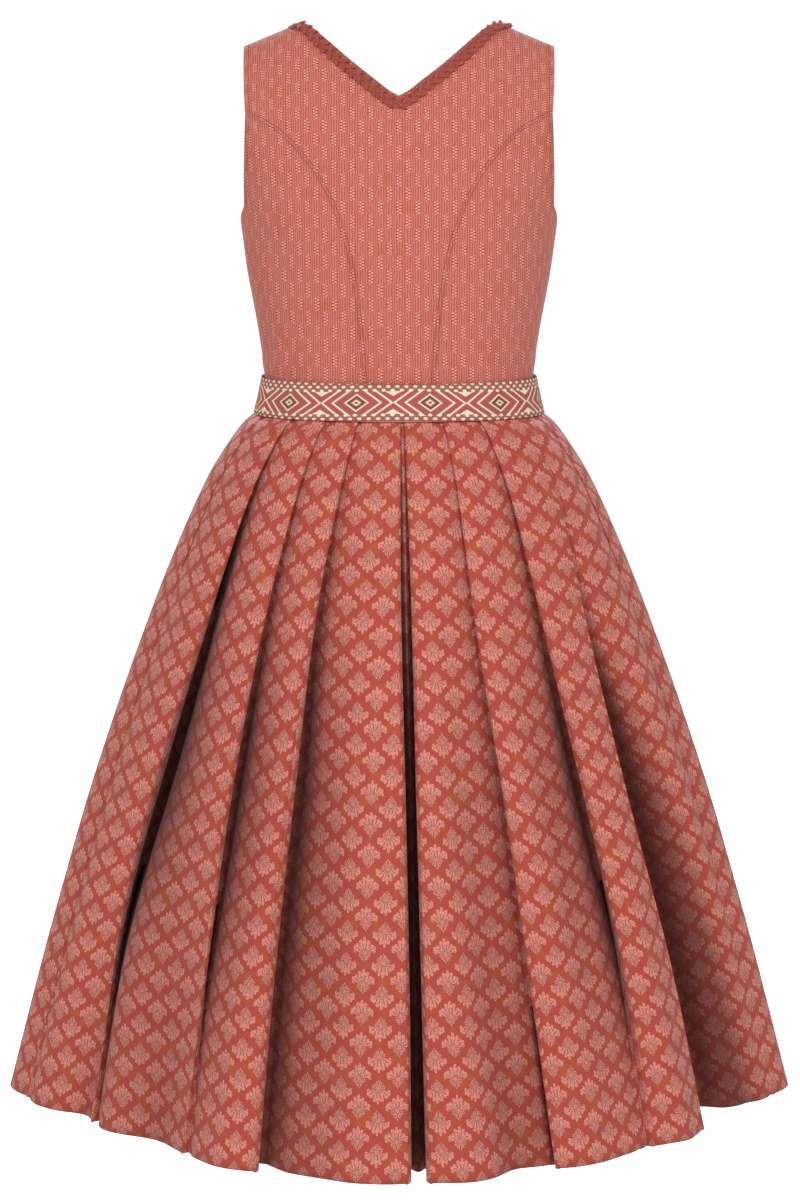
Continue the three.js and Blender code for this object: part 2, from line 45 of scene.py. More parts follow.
# ---- numbers and curves that several pieces share
def smoothCurve(xs, ys):
    # a smooth curve through the table's rows, level at no row in particular
    xs, ys = np.array(xs, float), np.array(ys, float)
    last = len(xs) - 1
    before = np.maximum(np.arange(last + 1) - 1, 0)
    after = np.minimum(np.arange(last + 1) + 1, last)
    slopes = (ys[after] - ys[before]) / (xs[after] - xs[before])

    def read(at):
        at = np.asarray(at, float)
        i = np.clip(np.searchsorted(xs, at) - 1, 0, last - 1)
        span = xs[i + 1] - xs[i]
        s = np.clip((at - xs[i]) / span, 0, 1)
        p, q, m, n = ys[i], ys[i + 1], slopes[i] * span, slopes[i + 1] * span
        return p + s * (m + s * (3 * (q - p) - 2 * m - n + s * (m + n - 2 * (q - p))))

    return read


def tableCurves(rows, inputName):
    names = [name for name in rows[0] if name != inputName]
    return {name: smoothCurve([r[inputName] for r in rows], [r[name] for r in rows]) for name in names}


def smoothStep(value, low, high):
    s = np.clip((np.asarray(value, float) - low) / (high - low), 0, 1)
    return s * s * (3 - 2 * s)


def bump(value, width):
    return np.exp(-((np.asarray(value, float) / width) ** 2))


def splineSamples(points, perSpan=24):
    # a curve through the points, sampled finely
    points = np.array(points, float)
    last = len(points) - 1
    out = []
    for i in range(last):
        a, b, c, d = (points[k] for k in (max(i - 1, 0), i, i + 1, min(i + 2, last)))
        t = (np.arange(perSpan) / perSpan)[:, None]
        v0, v1 = (c - a) / 2, (d - b) / 2
        out.append(b + t * (v0 + t * (3 * (c - b) - 2 * v0 - v1 + t * (v0 + v1 - 2 * (c - b)))))
    out.append(points[-1:])
    return np.concatenate(out)


def evenPoints(line, count):
    # count + 1 points at even distances along a line
    steps = np.linalg.norm(np.diff(line, axis=0), axis=1)
    length = np.concatenate([[0], np.cumsum(steps)])
    at = np.linspace(0, length[-1], count + 1)
    return np.stack([np.interp(at, length, line[:, k]) for k in range(line.shape[1])], 1)


# ---- meshes
def newObject(name, mesh, material=None):
    obj = bpy.data.objects.new(name, mesh)
    scene.collection.objects.link(obj)
    if material:
        obj.data.materials.append(material)
    return obj


def makePlain(obj):
    # puts the modifiers' result in place of the object's own mesh
    deps = bpy.context.evaluated_depsgraph_get()
    plain = bpy.data.meshes.new_from_object(obj.evaluated_get(deps))
    obj.modifiers.clear()
    obj.data = plain
    obj.data.name = obj.name
    return obj


def thicken(obj, thickness, offset):
    # a thin shell: offset -1 puts the thickness inside, 0 on both sides
    wall = obj.modifiers.new("wall", "SOLIDIFY")
    wall.thickness = thickness * mm
    wall.offset = offset
    wall.use_even_offset = False
    wall.use_quality_normals = True
    return makePlain(obj)


# ---- shader node groups
class Graph:
    # short names for a shader tree's nodes
    def __init__(self, tree):
        self.tree = tree

    def node(self, kind, **settings):
        made = self.tree.nodes.new(kind)
        for name, value in settings.items():
            setattr(made, name, value)
        return made

    def put(self, value, socket):
        if isinstance(value, bpy.types.NodeSocket):
            self.tree.links.new(value, socket)
        else:
            socket.default_value = value

    def calc(self, operation, *values, clamp=False):
        made = self.node("ShaderNodeMath", operation=operation, use_clamp=clamp)
        for k, value in enumerate(values):
            self.put(value, made.inputs[k])
        return made.outputs[0]

    def ramp(self, value, low, high, outLow=0.0, outHigh=1.0):
        made = self.node("ShaderNodeMapRange", interpolation_type="SMOOTHSTEP")
        for k, v in enumerate((value, low, high, outLow, outHigh)):
            self.put(v, made.inputs[k])
        return made.outputs[0]

    def mix(self, share, a, b, blend="MIX"):
        made = self.node("ShaderNodeMix", data_type="RGBA", blend_type=blend)
        self.put(share, made.inputs[0])
        self.put(a, made.inputs[6])
        self.put(b, made.inputs[7])
        return made.outputs[2]

    def noise(self, vector, scale, detail=2.0, roughness=0.5):
        made = self.node("ShaderNodeTexNoise")
        self.put(vector, made.inputs["Vector"])
        made.inputs["Scale"].default_value = scale
        made.inputs["Detail"].default_value = detail
        made.inputs["Roughness"].default_value = roughness
        return made.outputs[0]

    def join(self, x, y, z=0.0):
        made = self.node("ShaderNodeCombineXYZ")
        for k, value in enumerate((x, y, z)):
            self.put(value, made.inputs[k])
        return made.outputs[0]

    def oval(self, x, y, centre, radii, lean=0.0):
        # distance from the centre of a leaning oval, 1 on its rim
        dx = self.calc("SUBTRACT", x, centre[0])
        dy = self.calc("SUBTRACT", y, centre[1])
        if lean:
            c, s = math.cos(math.radians(lean)), math.sin(math.radians(lean))
            dx, dy = (
                self.calc("ADD", self.calc("MULTIPLY", dx, c), self.calc("MULTIPLY", dy, s)),
                self.calc("SUBTRACT", self.calc("MULTIPLY", dy, c), self.calc("MULTIPLY", dx, s)),
            )
        ax = self.calc("POWER", self.calc("ABSOLUTE", self.calc("DIVIDE", dx, radii[0])), 2.0)
        ay = self.calc("POWER", self.calc("ABSOLUTE", self.calc("DIVIDE", dy, radii[1])), 2.0)
        return self.calc("SQRT", self.calc("ADD", ax, ay))

    def repeat(self, value, period, shift=0.0):
        # distance from the middle of the repeat, from -period / 2 to period / 2
        moved = self.calc("ADD", value, shift) if shift else value
        return self.calc("WRAP", moved, period / 2, -period / 2)

    def least(self, *values):
        found = values[0]
        for value in values[1:]:
            found = self.calc("MINIMUM", found, value)
        return found

    def most(self, *values):
        found = values[0]
        for value in values[1:]:
            found = self.calc("MAXIMUM", found, value)
        return found


def newGroup(name, inputs, outputs):
    tree = bpy.data.node_groups.new(name, "ShaderNodeTree")
    for label, kind in inputs:
        tree.interface.new_socket(label, in_out="INPUT", socket_type=kind)
    for label, kind in outputs:
        tree.interface.new_socket(label, in_out="OUTPUT", socket_type=kind)
    graph = Graph(tree)
    return graph, graph.node("NodeGroupInput").outputs, graph.node("NodeGroupOutput").inputs


def newMaterial(name):
    made = bpy.data.materials.new(name)
    made.use_nodes = True
    graph = Graph(made.node_tree)
    shader = made.node_tree.nodes["Principled BSDF"]
    return made, graph, shader


def clothPlace(graph):
    # the cloth's own u and v, in millimetres
    uv = graph.node("ShaderNodeUVMap", uv_map="cloth").outputs[0]
    parts = graph.node("ShaderNodeSeparateXYZ")
    graph.put(uv, parts.inputs[0])
    u = graph.calc("MULTIPLY", parts.outputs[0], 1000.0)
    v = graph.calc("MULTIPLY", parts.outputs[1], 1000.0)
    return u, v


def objectPlace(graph):
    return graph.node("ShaderNodeTexCoord").outputs["Object"]


def addBump(graph, shader, height, strength, distance):
    made = graph.node("ShaderNodeBump")
    made.inputs["Strength"].default_value = strength
    made.inputs["Distance"].default_value = distance * mm
    graph.put(height, made.inputs["Height"])
    graph.put(made.outputs[0], shader.inputs["Normal"])


def useGroup(graph, tree, **values):
    made = graph.node("ShaderNodeGroup", node_tree=tree)
    for label, value in values.items():
        graph.put(value, made.inputs[label])
    return made.outputs


# the shine and depth of thread that all the woven cloths share
threads = {"pitch": 0.55, "slope": 1.0, "patches": 26.0}
graph, given, results = newGroup(
    "woven threads",
    [("U", "NodeSocketFloat"), ("V", "NodeSocketFloat")],
    [("Height", "NodeSocketFloat"), ("Fleck", "NodeSocketFloat"), ("Patch", "NodeSocketFloat")],
)
twill = graph.calc("ADD", given["U"], graph.calc("MULTIPLY", given["V"], threads["slope"]))
across = graph.calc("SINE", graph.calc("MULTIPLY", twill, 2 * math.pi / threads["pitch"]))
along = graph.calc("SINE", graph.calc("MULTIPLY", given["V"], math.pi / threads["pitch"]))
graph.put(graph.calc("MULTIPLY_ADD", across, 0.35, graph.calc("MULTIPLY", along, 0.15)), results["Height"])
where = graph.join(given["U"], given["V"])
graph.put(graph.noise(where, 1.3, 2.0, 0.7), results["Fleck"])
graph.put(graph.noise(where, 1 / threads["patches"], 2.0, 0.5), results["Patch"])
wovenThreads = graph.tree


def ink(red, green, blue):
    # a colour given as a screen shows it, turned into the light it reflects
    parts = [value / 255 for value in (red, green, blue)]
    return (*[c / 12.92 if c <= 0.04045 else ((c + 0.055) / 1.055) ** 2.4 for c in parts], 1.0)


# ---- skirt cloth: columns of palmettes, every other column upside down
palmette = {
    "columns": 17.0,  # from one column to the next, in mm
    "rows": 27.3,
    "motif": ink(226, 146, 130),
    "motifLight": ink(246, 190, 174),
    "motifDeep": ink(200, 108, 94),
    "vein": ink(128, 52, 44),
    "ground": ink(184, 78, 62),
    "groundDeep": ink(148, 56, 45),
    "groundWarm": ink(190, 88, 58),
    "groundRose": ink(190, 76, 68),
    "leaves": (  # centre, half width and half height, lean
        ((0.0, 2.6), (3.6, 5.0), 0),
        ((0.0, 8.2), (1.3, 3.0), 0),
        ((2.9, 5.8), (1.7, 3.0), -24),
        ((5.0, 2.9), (1.4, 3.2), -52),
        ((8.1, 1.4), (2.2, 2.3), 0),
        ((8.6, -1.0), (1.5, 1.7), 20),
        ((5.4, -0.6), (3.5, 1.7), -6),
        ((0.0, -2.6), (3.6, 3.0), 0),
        ((3.5, -4.6), (2.3, 1.7), 24),
        ((0.0, -7.4), (1.5, 3.6), 0),
        ((1.9, -7.2), (1.6, 1.5), 40),
    ),
    "foldShadeShare": 0.8,  # the share of the painted shade colour mixed into the cloth deep in the folds
    # painted shade: the dark colour that the folds' painted shade mixes towards
    "foldShadeColour": ink(84, 24, 20),
    "fan": (0.0, -2.6),  # where the veins spread from
    "veins": 0.40,  # angle between two of them
}


def drawPalmette(graph, x, y):
    side = graph.calc("ABSOLUTE", x)
    shape = graph.least(*[graph.oval(side, y, *leaf) for leaf in palmette["leaves"]])
    mask = graph.ramp(shape, 0.98, 0.84)
    rim = graph.ramp(shape, 0.5, 0.85)
    up = graph.calc("SUBTRACT", y, palmette["fan"][1])
    angle = graph.calc("ARCTAN2", side, up)
    far = graph.calc("SQRT", graph.calc("ADD", graph.calc("POWER", side, 2.0), graph.calc("POWER", up, 2.0)))
    swing = graph.calc("MULTIPLY_ADD", far, 0.02, angle)
    beside = graph.calc("ABSOLUTE", graph.repeat(swing, palmette["veins"]))
    veins = graph.ramp(graph.calc("MULTIPLY", beside, graph.most(far, 2.0)), 0.5, 0.16)
    reach = graph.calc("MULTIPLY", graph.ramp(far, 1.4, 2.4), graph.ramp(far, 9.2, 7.6))
    return mask, rim, graph.calc("MULTIPLY", veins, reach)


graph, given, results = newGroup(
    "palmette cloth",
    [("U", "NodeSocketFloat"), ("V", "NodeSocketFloat")],
    [("Color", "NodeSocketColor"), ("Motif", "NodeSocketFloat"), ("Height", "NodeSocketFloat")],
)
weave = useGroup(graph, wovenThreads, U=given["U"], V=given["V"])
wander = graph.noise(graph.join(given["U"], given["V"]), 0.09, 1.0)
fray = graph.noise(graph.join(given["U"], given["V"]), 1.1, 1.0, 0.7)
drift = graph.calc("MULTIPLY", graph.calc("SUBTRACT", wander, 0.5), 2.6)
ragged = graph.calc("MULTIPLY", graph.calc("SUBTRACT", fray, 0.5), 1.7)
u = graph.calc("ADD", graph.calc("ADD", given["U"], drift), ragged)
v = graph.calc("SUBTRACT", graph.calc("SUBTRACT", given["V"], drift), ragged)
drawn = []
for shift, upright in ((0.0, 1.0), (1.0, -1.0)):
    x = graph.repeat(u, 2 * palmette["columns"], shift * palmette["columns"])
    y = graph.repeat(v, palmette["rows"], shift * palmette["rows"] / 2)
    drawn.append(drawPalmette(graph, x, graph.calc("MULTIPLY", y, upright)))
motif = graph.most(drawn[0][0], drawn[1][0])
rims = graph.most(*[graph.calc("MULTIPLY", mask, rim) for mask, rim, _ in drawn])
veins = graph.most(*[graph.calc("MULTIPLY", mask, vein) for mask, _, vein in drawn])
blotch = graph.noise(graph.join(given["U"], given["V"]), 0.062, 1.0)
ground = graph.mix(graph.ramp(blotch, 0.50, 0.66), palmette["ground"], palmette["groundWarm"])
ground = graph.mix(graph.ramp(blotch, 0.46, 0.34), ground, palmette["groundRose"])
ground = graph.mix(graph.ramp(weave["Fleck"], 0.55, 0.30, 0.0, 0.75), ground, palmette["groundDeep"])
light = graph.mix(graph.ramp(weave["Fleck"], 0.42, 0.60), palmette["motifDeep"], palmette["motif"])
light = graph.mix(graph.calc("MULTIPLY", rims, 0.45), light, palmette["motifLight"])
light = graph.mix(graph.ramp(weave["Fleck"], 0.60, 0.72), light, palmette["motifLight"])
light = graph.mix(graph.calc("MULTIPLY", veins, 0.8), light, palmette["vein"])
graph.put(graph.mix(motif, ground, light), results["Color"])
graph.put(motif, results["Motif"])
raised = graph.calc("MULTIPLY_ADD", veins, -0.6, graph.calc("MULTIPLY", motif, 0.8))
graph.put(graph.calc("ADD", raised, weave["Height"]), results["Height"])
palmetteCloth = graph.tree

skirtCloth, graph, shader = newMaterial("skirt jacquard")
u, v = clothPlace(graph)
pattern = useGroup(graph, palmetteCloth, U=u, V=v)
# painted shade: the fold map holds how deep the cloth lies in its folds, and the colour is mixed towards a dark
# shade colour there
foldParts = graph.node("ShaderNodeSeparateXYZ")
graph.put(graph.node("ShaderNodeUVMap", uv_map="fold").outputs[0], foldParts.inputs[0])
foldShadeMix = graph.ramp(foldParts.outputs[0], 0.05, 1.0, 0.0, palmette["foldShadeShare"])
graph.put(graph.mix(foldShadeMix, pattern["Color"], palmette["foldShadeColour"]), shader.inputs["Base Color"])
graph.put(graph.ramp(pattern["Motif"], 0.0, 1.0, 0.78, 0.58), shader.inputs["Roughness"])
shader.inputs["Sheen Weight"].default_value = 0.12
shader.inputs["Sheen Roughness"].default_value = 0.5
shader.inputs["Specular IOR Level"].default_value = 0.25
addBump(graph, shader, pattern["Height"], 0.35, 0.25)

# ---- bodice cloth: wavy lines that part round ears of bright dots
wheat = {
    "columns": 8.35,
    "rows": 25.2,
    "line": 2.35,
    "ear": (2.9, 6.8),  # half width and half height
    "dots": 2.8,  # from one dot to the next, up the ear
    "ground": ink(216, 122, 108),
    "groundWarm": ink(212, 116, 94),
    "lineColour": ink(112, 32, 28),
    "dot": ink(244, 170, 148),
    "dotDeep": ink(122, 38, 34),
}


def drawEar(graph, x, y):
    inside = graph.ramp(graph.oval(x, y, (0.0, 0.0), wheat["ear"]), 1.1, 0.9)
    side = graph.calc("ABSOLUTE", x)
    lifted = graph.calc("MULTIPLY_ADD", graph.calc("SIGN", x), wheat["dots"] / 4, y)
    near = graph.repeat(lifted, wheat["dots"])
    between = graph.repeat(lifted, wheat["dots"], wheat["dots"] / 2)
    bright = graph.ramp(graph.oval(side, near, (1.15, 0.0), (1.0, 0.85)), 1.15, 0.7)
    outer = graph.oval(side, between, (2.4, 0.0), (0.85, 0.8))
    inner = graph.oval(side, between, (0.8, 0.0), (0.75, 0.65))
    dark = graph.ramp(graph.least(outer, inner), 1.15, 0.6)
    return inside, graph.calc("MULTIPLY", inside, bright), graph.calc("MULTIPLY", inside, dark)


graph, given, results = newGroup(
    "wheat ear cloth",
    [("U", "NodeSocketFloat"), ("V", "NodeSocketFloat")],
    [("Color", "NodeSocketColor"), ("Dots", "NodeSocketFloat"), ("Height", "NodeSocketFloat")],
)
weave = useGroup(graph, wovenThreads, U=given["U"], V=given["V"])
waver = graph.noise(graph.join(given["U"], given["V"]), 0.28, 1.0)
place = graph.calc("MULTIPLY_ADD", graph.calc("SUBTRACT", waver, 0.5), 1.6, given["U"])
drawn, bulges = [], []
for shift in (0.0, 1.0):
    x = graph.repeat(place, 2 * wheat["columns"], shift * wheat["columns"])
    y = graph.repeat(given["V"], wheat["rows"], shift * wheat["rows"] / 2)
    drawn.append(drawEar(graph, x, y))
    near = graph.ramp(graph.oval(x, y, (0.0, 0.0), (6.2, 9.5)), 1.0, 0.25)
    bulges.append(graph.calc("MULTIPLY", graph.calc("SIGN", x), near))
ear, dot, dark = (graph.most(drawn[0][k], drawn[1][k]) for k in range(3))
linePlace = graph.calc("MULTIPLY_ADD", graph.calc("ADD", *bulges), -0.95, place)
stripe = graph.calc("SINE", graph.calc("MULTIPLY", linePlace, 2 * math.pi / wheat["line"]))
stitchBreak = graph.ramp(weave["Fleck"], 0.25, 0.62, 1.0, 0.45)
lines = graph.calc("MULTIPLY", graph.ramp(stripe, -0.3, 0.75), stitchBreak)
lines = graph.calc("MULTIPLY", lines, graph.calc("SUBTRACT", 1.0, graph.calc("MULTIPLY", ear, 0.6)))
colour = graph.mix(graph.ramp(weave["Patch"], 0.50, 0.70), wheat["ground"], wheat["groundWarm"])
colour = graph.mix(graph.calc("MULTIPLY", lines, 0.85), colour, wheat["lineColour"])
colour = graph.mix(graph.calc("MULTIPLY", dark, 0.85), colour, wheat["dotDeep"])
colour = graph.mix(graph.calc("MULTIPLY", dot, 0.9), colour, wheat["dot"])
graph.put(colour, results["Color"])
graph.put(dot, results["Dots"])
relief = graph.calc("MULTIPLY_ADD", lines, -0.5, weave["Height"])
graph.put(graph.calc("ADD", dot, graph.calc("MULTIPLY_ADD", dark, -0.5, relief)), results["Height"])
wheatCloth = graph.tree

bodiceCloth, graph, shader = newMaterial("bodice jacquard")
u, v = clothPlace(graph)
pattern = useGroup(graph, wheatCloth, U=u, V=v)
graph.put(pattern["Color"], shader.inputs["Base Color"])
graph.put(graph.ramp(pattern["Dots"], 0.0, 1.0, 0.78, 0.6), shader.inputs["Roughness"])
shader.inputs["Sheen Weight"].default_value = 0.12
shader.inputs["Sheen Roughness"].default_value = 0.5
shader.inputs["Specular IOR Level"].default_value = 0.25
addBump(graph, shader, pattern["Height"], 0.35, 0.22)

# ---- band cloth: diamonds between chevrons, and rows of dots
bandWeave = {
    "repeat": 66.6,
    "slope": 1.42,  # how far a slanting line runs across for each mm it rises
    "field": 12.0,  # half the height of the patterned field
    "diamond": 7.3,  # the outline's height above its middle
    "chevrons": (15.6, 22.7),
    "dotPitch": 8.325,
    "dotRows": ((10.9, 0.0), (14.1, 0.5), (17.4, 0.0), (-10.9, 0.0), (-14.1, 0.5)),
    "step": 1.05,
    "ivory": ink(250, 238, 208),
    "red": ink(210, 92, 96),
    "brown": ink(184, 112, 98),
    "dark": ink(116, 66, 58),
}
graph, given, results = newGroup(
    "diamond band",
    [("U", "NodeSocketFloat"), ("V", "NodeSocketFloat")],
    [("Color", "NodeSocketColor"), ("Ivory", "NodeSocketFloat"), ("Height", "NodeSocketFloat")],
)
weave = useGroup(graph, wovenThreads, U=given["U"], V=given["V"])
stepU = graph.calc("SNAP", given["U"], bandWeave["step"])
side = graph.calc("ABSOLUTE", graph.repeat(stepU, bandWeave["repeat"]))
high = graph.calc("ABSOLUTE", given["V"])
ring = graph.calc("ADD", graph.calc("DIVIDE", side, bandWeave["slope"]), high)
inField = graph.ramp(high, bandWeave["field"], bandWeave["field"] - 0.5)


def stroke(at, half):
    return graph.ramp(graph.calc("ABSOLUTE", graph.calc("SUBTRACT", ring, at)), half + 0.25, half - 0.15)


ivory = graph.most(*[stroke(at, 0.9) for at in bandWeave["chevrons"]], stroke(bandWeave["diamond"], 0.7))
ivory = graph.most(ivory, stroke(2.2, 0.7))
far = graph.calc("SUBTRACT", bandWeave["repeat"] / 2, side)
tip = graph.calc("SUBTRACT", graph.calc("DIVIDE", far, bandWeave["slope"] * 1.25), high)
triangle = graph.calc("MULTIPLY", graph.ramp(tip, -5.4, -6.0), graph.ramp(high, 10.2, 9.8))
ivory = graph.calc("MULTIPLY", graph.most(ivory, triangle), inField)
dots, seats = [], []
for at, shift in bandWeave["dotRows"]:
    x = graph.repeat(given["U"], bandWeave["dotPitch"], shift * bandWeave["dotPitch"])
    y = graph.calc("SUBTRACT", given["V"], at)
    dots.append(graph.ramp(graph.oval(x, y, (0.0, 0.0), (2.0, 1.25)), 1.12, 0.88))
    seats.append(graph.ramp(graph.calc("ABSOLUTE", y), 1.5, 1.1))
ivory = graph.most(ivory, *dots)
darks = graph.most(stroke(5.0, 0.7), graph.calc("MULTIPLY", stroke(0.0, 0.7), 1.0))
stripes = graph.most(*[stroke(at, 1.7) for at in (11.6, 19.2, 26.4)])
base = graph.mix(stripes, bandWeave["brown"], bandWeave["red"])
base = graph.mix(graph.most(*seats), base, bandWeave["brown"])
base = graph.mix(graph.calc("MULTIPLY", darks, inField), base, bandWeave["dark"])
base = graph.mix(graph.ramp(weave["Fleck"], 0.6, 0.35, 0.0, 0.6), base, bandWeave["dark"])
edge = graph.ramp(graph.calc("ABSOLUTE", graph.calc("ADD", given["V"], 16.9)), 0.7, 0.3)
base = graph.mix(edge, base, ink(222, 160, 140))
bright = graph.mix(graph.ramp(weave["Fleck"], 0.5, 0.3, 0.0, 0.5), bandWeave["ivory"], ink(196, 160, 124))
graph.put(graph.mix(ivory, base, bright), results["Color"])
graph.put(ivory, results["Ivory"])
graph.put(graph.calc("ADD", ivory, weave["Height"]), results["Height"])
diamondBand = graph.tree

bandCloth, graph, shader = newMaterial("woven band")
u, v = clothPlace(graph)
pattern = useGroup(graph, diamondBand, U=u, V=v)
graph.put(pattern["Color"], shader.inputs["Base Color"])
graph.put(graph.ramp(pattern["Ivory"], 0.0, 1.0, 0.8, 0.65), shader.inputs["Roughness"])
shader.inputs["Specular IOR Level"].default_value = 0.25
addBump(graph, shader, pattern["Height"], 0.5, 0.4)


def threadMaterial(name, colour, deep, scale, sheen=0.2):
    made, graph, shader = newMaterial(name)
    place = objectPlace(graph)
    fibre = graph.noise(place, scale, 3.0, 0.6)
    graph.put(graph.mix(graph.ramp(fibre, 0.35, 0.68), deep, colour), shader.inputs["Base Color"])
    graph.put(graph.ramp(fibre, 0.3, 0.7, 0.75, 0.55), shader.inputs["Roughness"])
    shader.inputs["Sheen Weight"].default_value = sheen
    addBump(graph, shader, fibre, 0.4, 0.3)
    return made


braidCord = threadMaterial("braid cord", ink(190, 80, 62), ink(132, 46, 34), 900.0, 0.25)
sewingThread = threadMaterial("sewing thread", ink(160, 66, 56), ink(118, 42, 36), 1500.0)
print("materials made")

# ---- the body line that the bodice pieces lie on
bodice = {
    "wall": 1.6,
    "seamGap": 0.3,
    "round": 0.82,
    "waistSeam": 340,
    "strapInner": 88,
    "strapOuter": 141,
    "strapDrop": 22,
    "bustOut": 13,
    "bustX": 70,
    "bustDown": 200,
    "bustWide": 36,
    "bustTall": 46,
    "rows": 64,
    "columns": 30,
    "seamShare": 0.667,  # the share of the rows that lie along the princess seam
    "ridge": 2.9,  # width of the raised edge beside it
    "ridgeOut": 0.8,
}
bodyLine = [
    {"along": 0, "down": 0, "back": 0.8, "front": 0.8, "half": 178},
    {"along": 8, "down": 1.5, "back": 8, "front": 8, "half": 178},
    {"along": 20, "down": 6, "back": 20, "front": 18, "half": 177},
    {"along": 40, "down": 18, "back": 36, "front": 31, "half": 175},
    {"along": 70, "down": 43, "back": 56, "front": 46, "half": 171},
    {"along": 110, "down": 78, "back": 76, "front": 64, "half": 165},
    {"along": 150, "down": 115, "back": 90, "front": 84, "half": 157},
    {"along": 190, "down": 153, "back": 97, "front": 101, "half": 149.5},
    {"along": 222, "down": 184, "back": 99, "front": 109, "half": 144.5},
    {"along": 264, "down": 225, "back": 97, "front": 108, "half": 139},
    {"along": 320, "down": 281, "back": 93, "front": 97, "half": 128.8},
    {"along": 361, "down": 322, "back": 90.9, "front": 90.9, "half": 123.5},
    {"along": 379, "down": 340, "back": 91.6, "front": 91.6, "half": 124.2},
]
bodyCurves = tableCurves(bodyLine, "along")
bodyEnd = bodyLine[-1]["along"]


def shoulderDrop(x, along):
    reach = bodice["strapOuter"] - bodice["strapInner"]
    share = np.maximum(0, (np.abs(x) - bodice["strapInner"]) / reach)
    return bodice["strapDrop"] * share * (1 - smoothStep(along, 20, 150))


def bodicePoint(side, turn, along, out=0.0):
    # side is -1 behind and 1 in front; turn runs from the centre to a quarter turn at the side
    half, down = bodyCurves["half"](along), bodyCurves["down"](along)
    x = half * np.sin(turn)
    depth = bodyCurves["back" if side < 0 else "front"](along)
    if side > 0:
        across = (np.abs(x) - bodice["bustX"]) / bodice["bustWide"]
        upright = (down - bodice["bustDown"]) / bodice["bustTall"]
        depth = depth + bodice["bustOut"] * np.exp(-(across**2) - upright**2)
    y = side * depth * np.maximum(np.cos(turn), 0) ** bodice["round"]
    point = np.stack([x, y, -down - shoulderDrop(x, along)], -1)
    if np.any(out):
        point = point + bodiceNormal(side, turn, along) * np.asarray(out, float)[..., None]
    return point


def bodiceNormal(side, turn, along):
    inTurn = np.clip(turn, math.radians(-89.5), math.radians(89.5))
    low, high = np.maximum(along - 1, 0), np.minimum(along + 1, bodyEnd)
    across = bodicePoint(side, inTurn + 0.002, along) - bodicePoint(side, inTurn - 0.002, along)
    down = bodicePoint(side, inTurn, high) - bodicePoint(side, inTurn, low)
    way = np.cross(across, down)
    return side * way / np.linalg.norm(way, axis=-1, keepdims=True)


def placeAt(x, down):
    # the turn and along of the point that lies at x across and down
    x, down = np.asarray(x, float), np.asarray(down, float)
    low, high = np.zeros_like(down), np.full_like(down, bodyEnd)
    for _ in range(40):
        middle = (low + high) / 2
        under = bodyCurves["down"](middle) + shoulderDrop(x, middle) < down
        low, high = np.where(under, middle, low), np.where(under, high, middle)
    return np.stack([np.arcsin(np.clip(x / bodyCurves["half"](low), -1, 1)), low], -1)


def outline(points, count):
    line = evenPoints(splineSamples(points), count)
    return placeAt(line[:, 0], line[:, 1])


def edgeBetween(a, b, count):
    share = np.linspace(0, 1, count + 1)[:, None]
    return a + (b - a) * share


def arcAcross(side, places):
    # real distances from the centre line, round the body
    shares = np.linspace(0, 1, 25)
    turns = places[..., 0:1] * shares
    points = bodicePoint(side, turns, np.broadcast_to(places[..., 1:2], turns.shape))
    length = np.linalg.norm(np.diff(points, axis=-2), axis=-1).sum(-1)
    return np.sign(places[..., 0]) * length


def trim(side, grid, sides):
    # moves the named edges in by half the seam gap
    moved = grid.copy()

    def pull(edge, towards):
        a = bodicePoint(side, edge[:, 0], edge[:, 1])
        b = bodicePoint(side, towards[:, 0], towards[:, 1])
        share = bodice["seamGap"] / 2 / np.maximum(np.linalg.norm(a - b, axis=1), 0.5)
        return edge + (towards - edge) * share[:, None]

    if "left" in sides:
        moved[:, 0] = pull(moved[:, 0], grid[:, 1])
    if "right" in sides:
        moved[:, -1] = pull(moved[:, -1], grid[:, -2])
    if "bottom" in sides:
        moved[0] = pull(moved[0], grid[1])
    if "top" in sides:
        moved[-1] = pull(moved[-1], grid[-2])
    return moved


def cellCorners(values):
    # a value at each point of a grid, given to the four corners of each cell
    return np.stack([values[:-1, :-1], values[:-1, 1:], values[1:, 1:], values[1:, :-1]], 2)


cuts = {}  # each piece's widest row, longest column and area, in metres


def cutSize(grids):
    width = length = area = 0
    for grid in grids:
        across = np.linalg.norm(np.diff(grid, axis=1), axis=2)
        down = np.linalg.norm(np.diff(grid, axis=0), axis=2)
        a, b = grid[1:, 1:] - grid[:-1, :-1], grid[1:, :-1] - grid[:-1, 1:]
        area += np.linalg.norm(np.cross(a, b), axis=2).sum() / 2
        width += across.sum(1).max()
        length = max(length, down.sum(0).max())
    return width * mm, length * mm, area * mm * mm


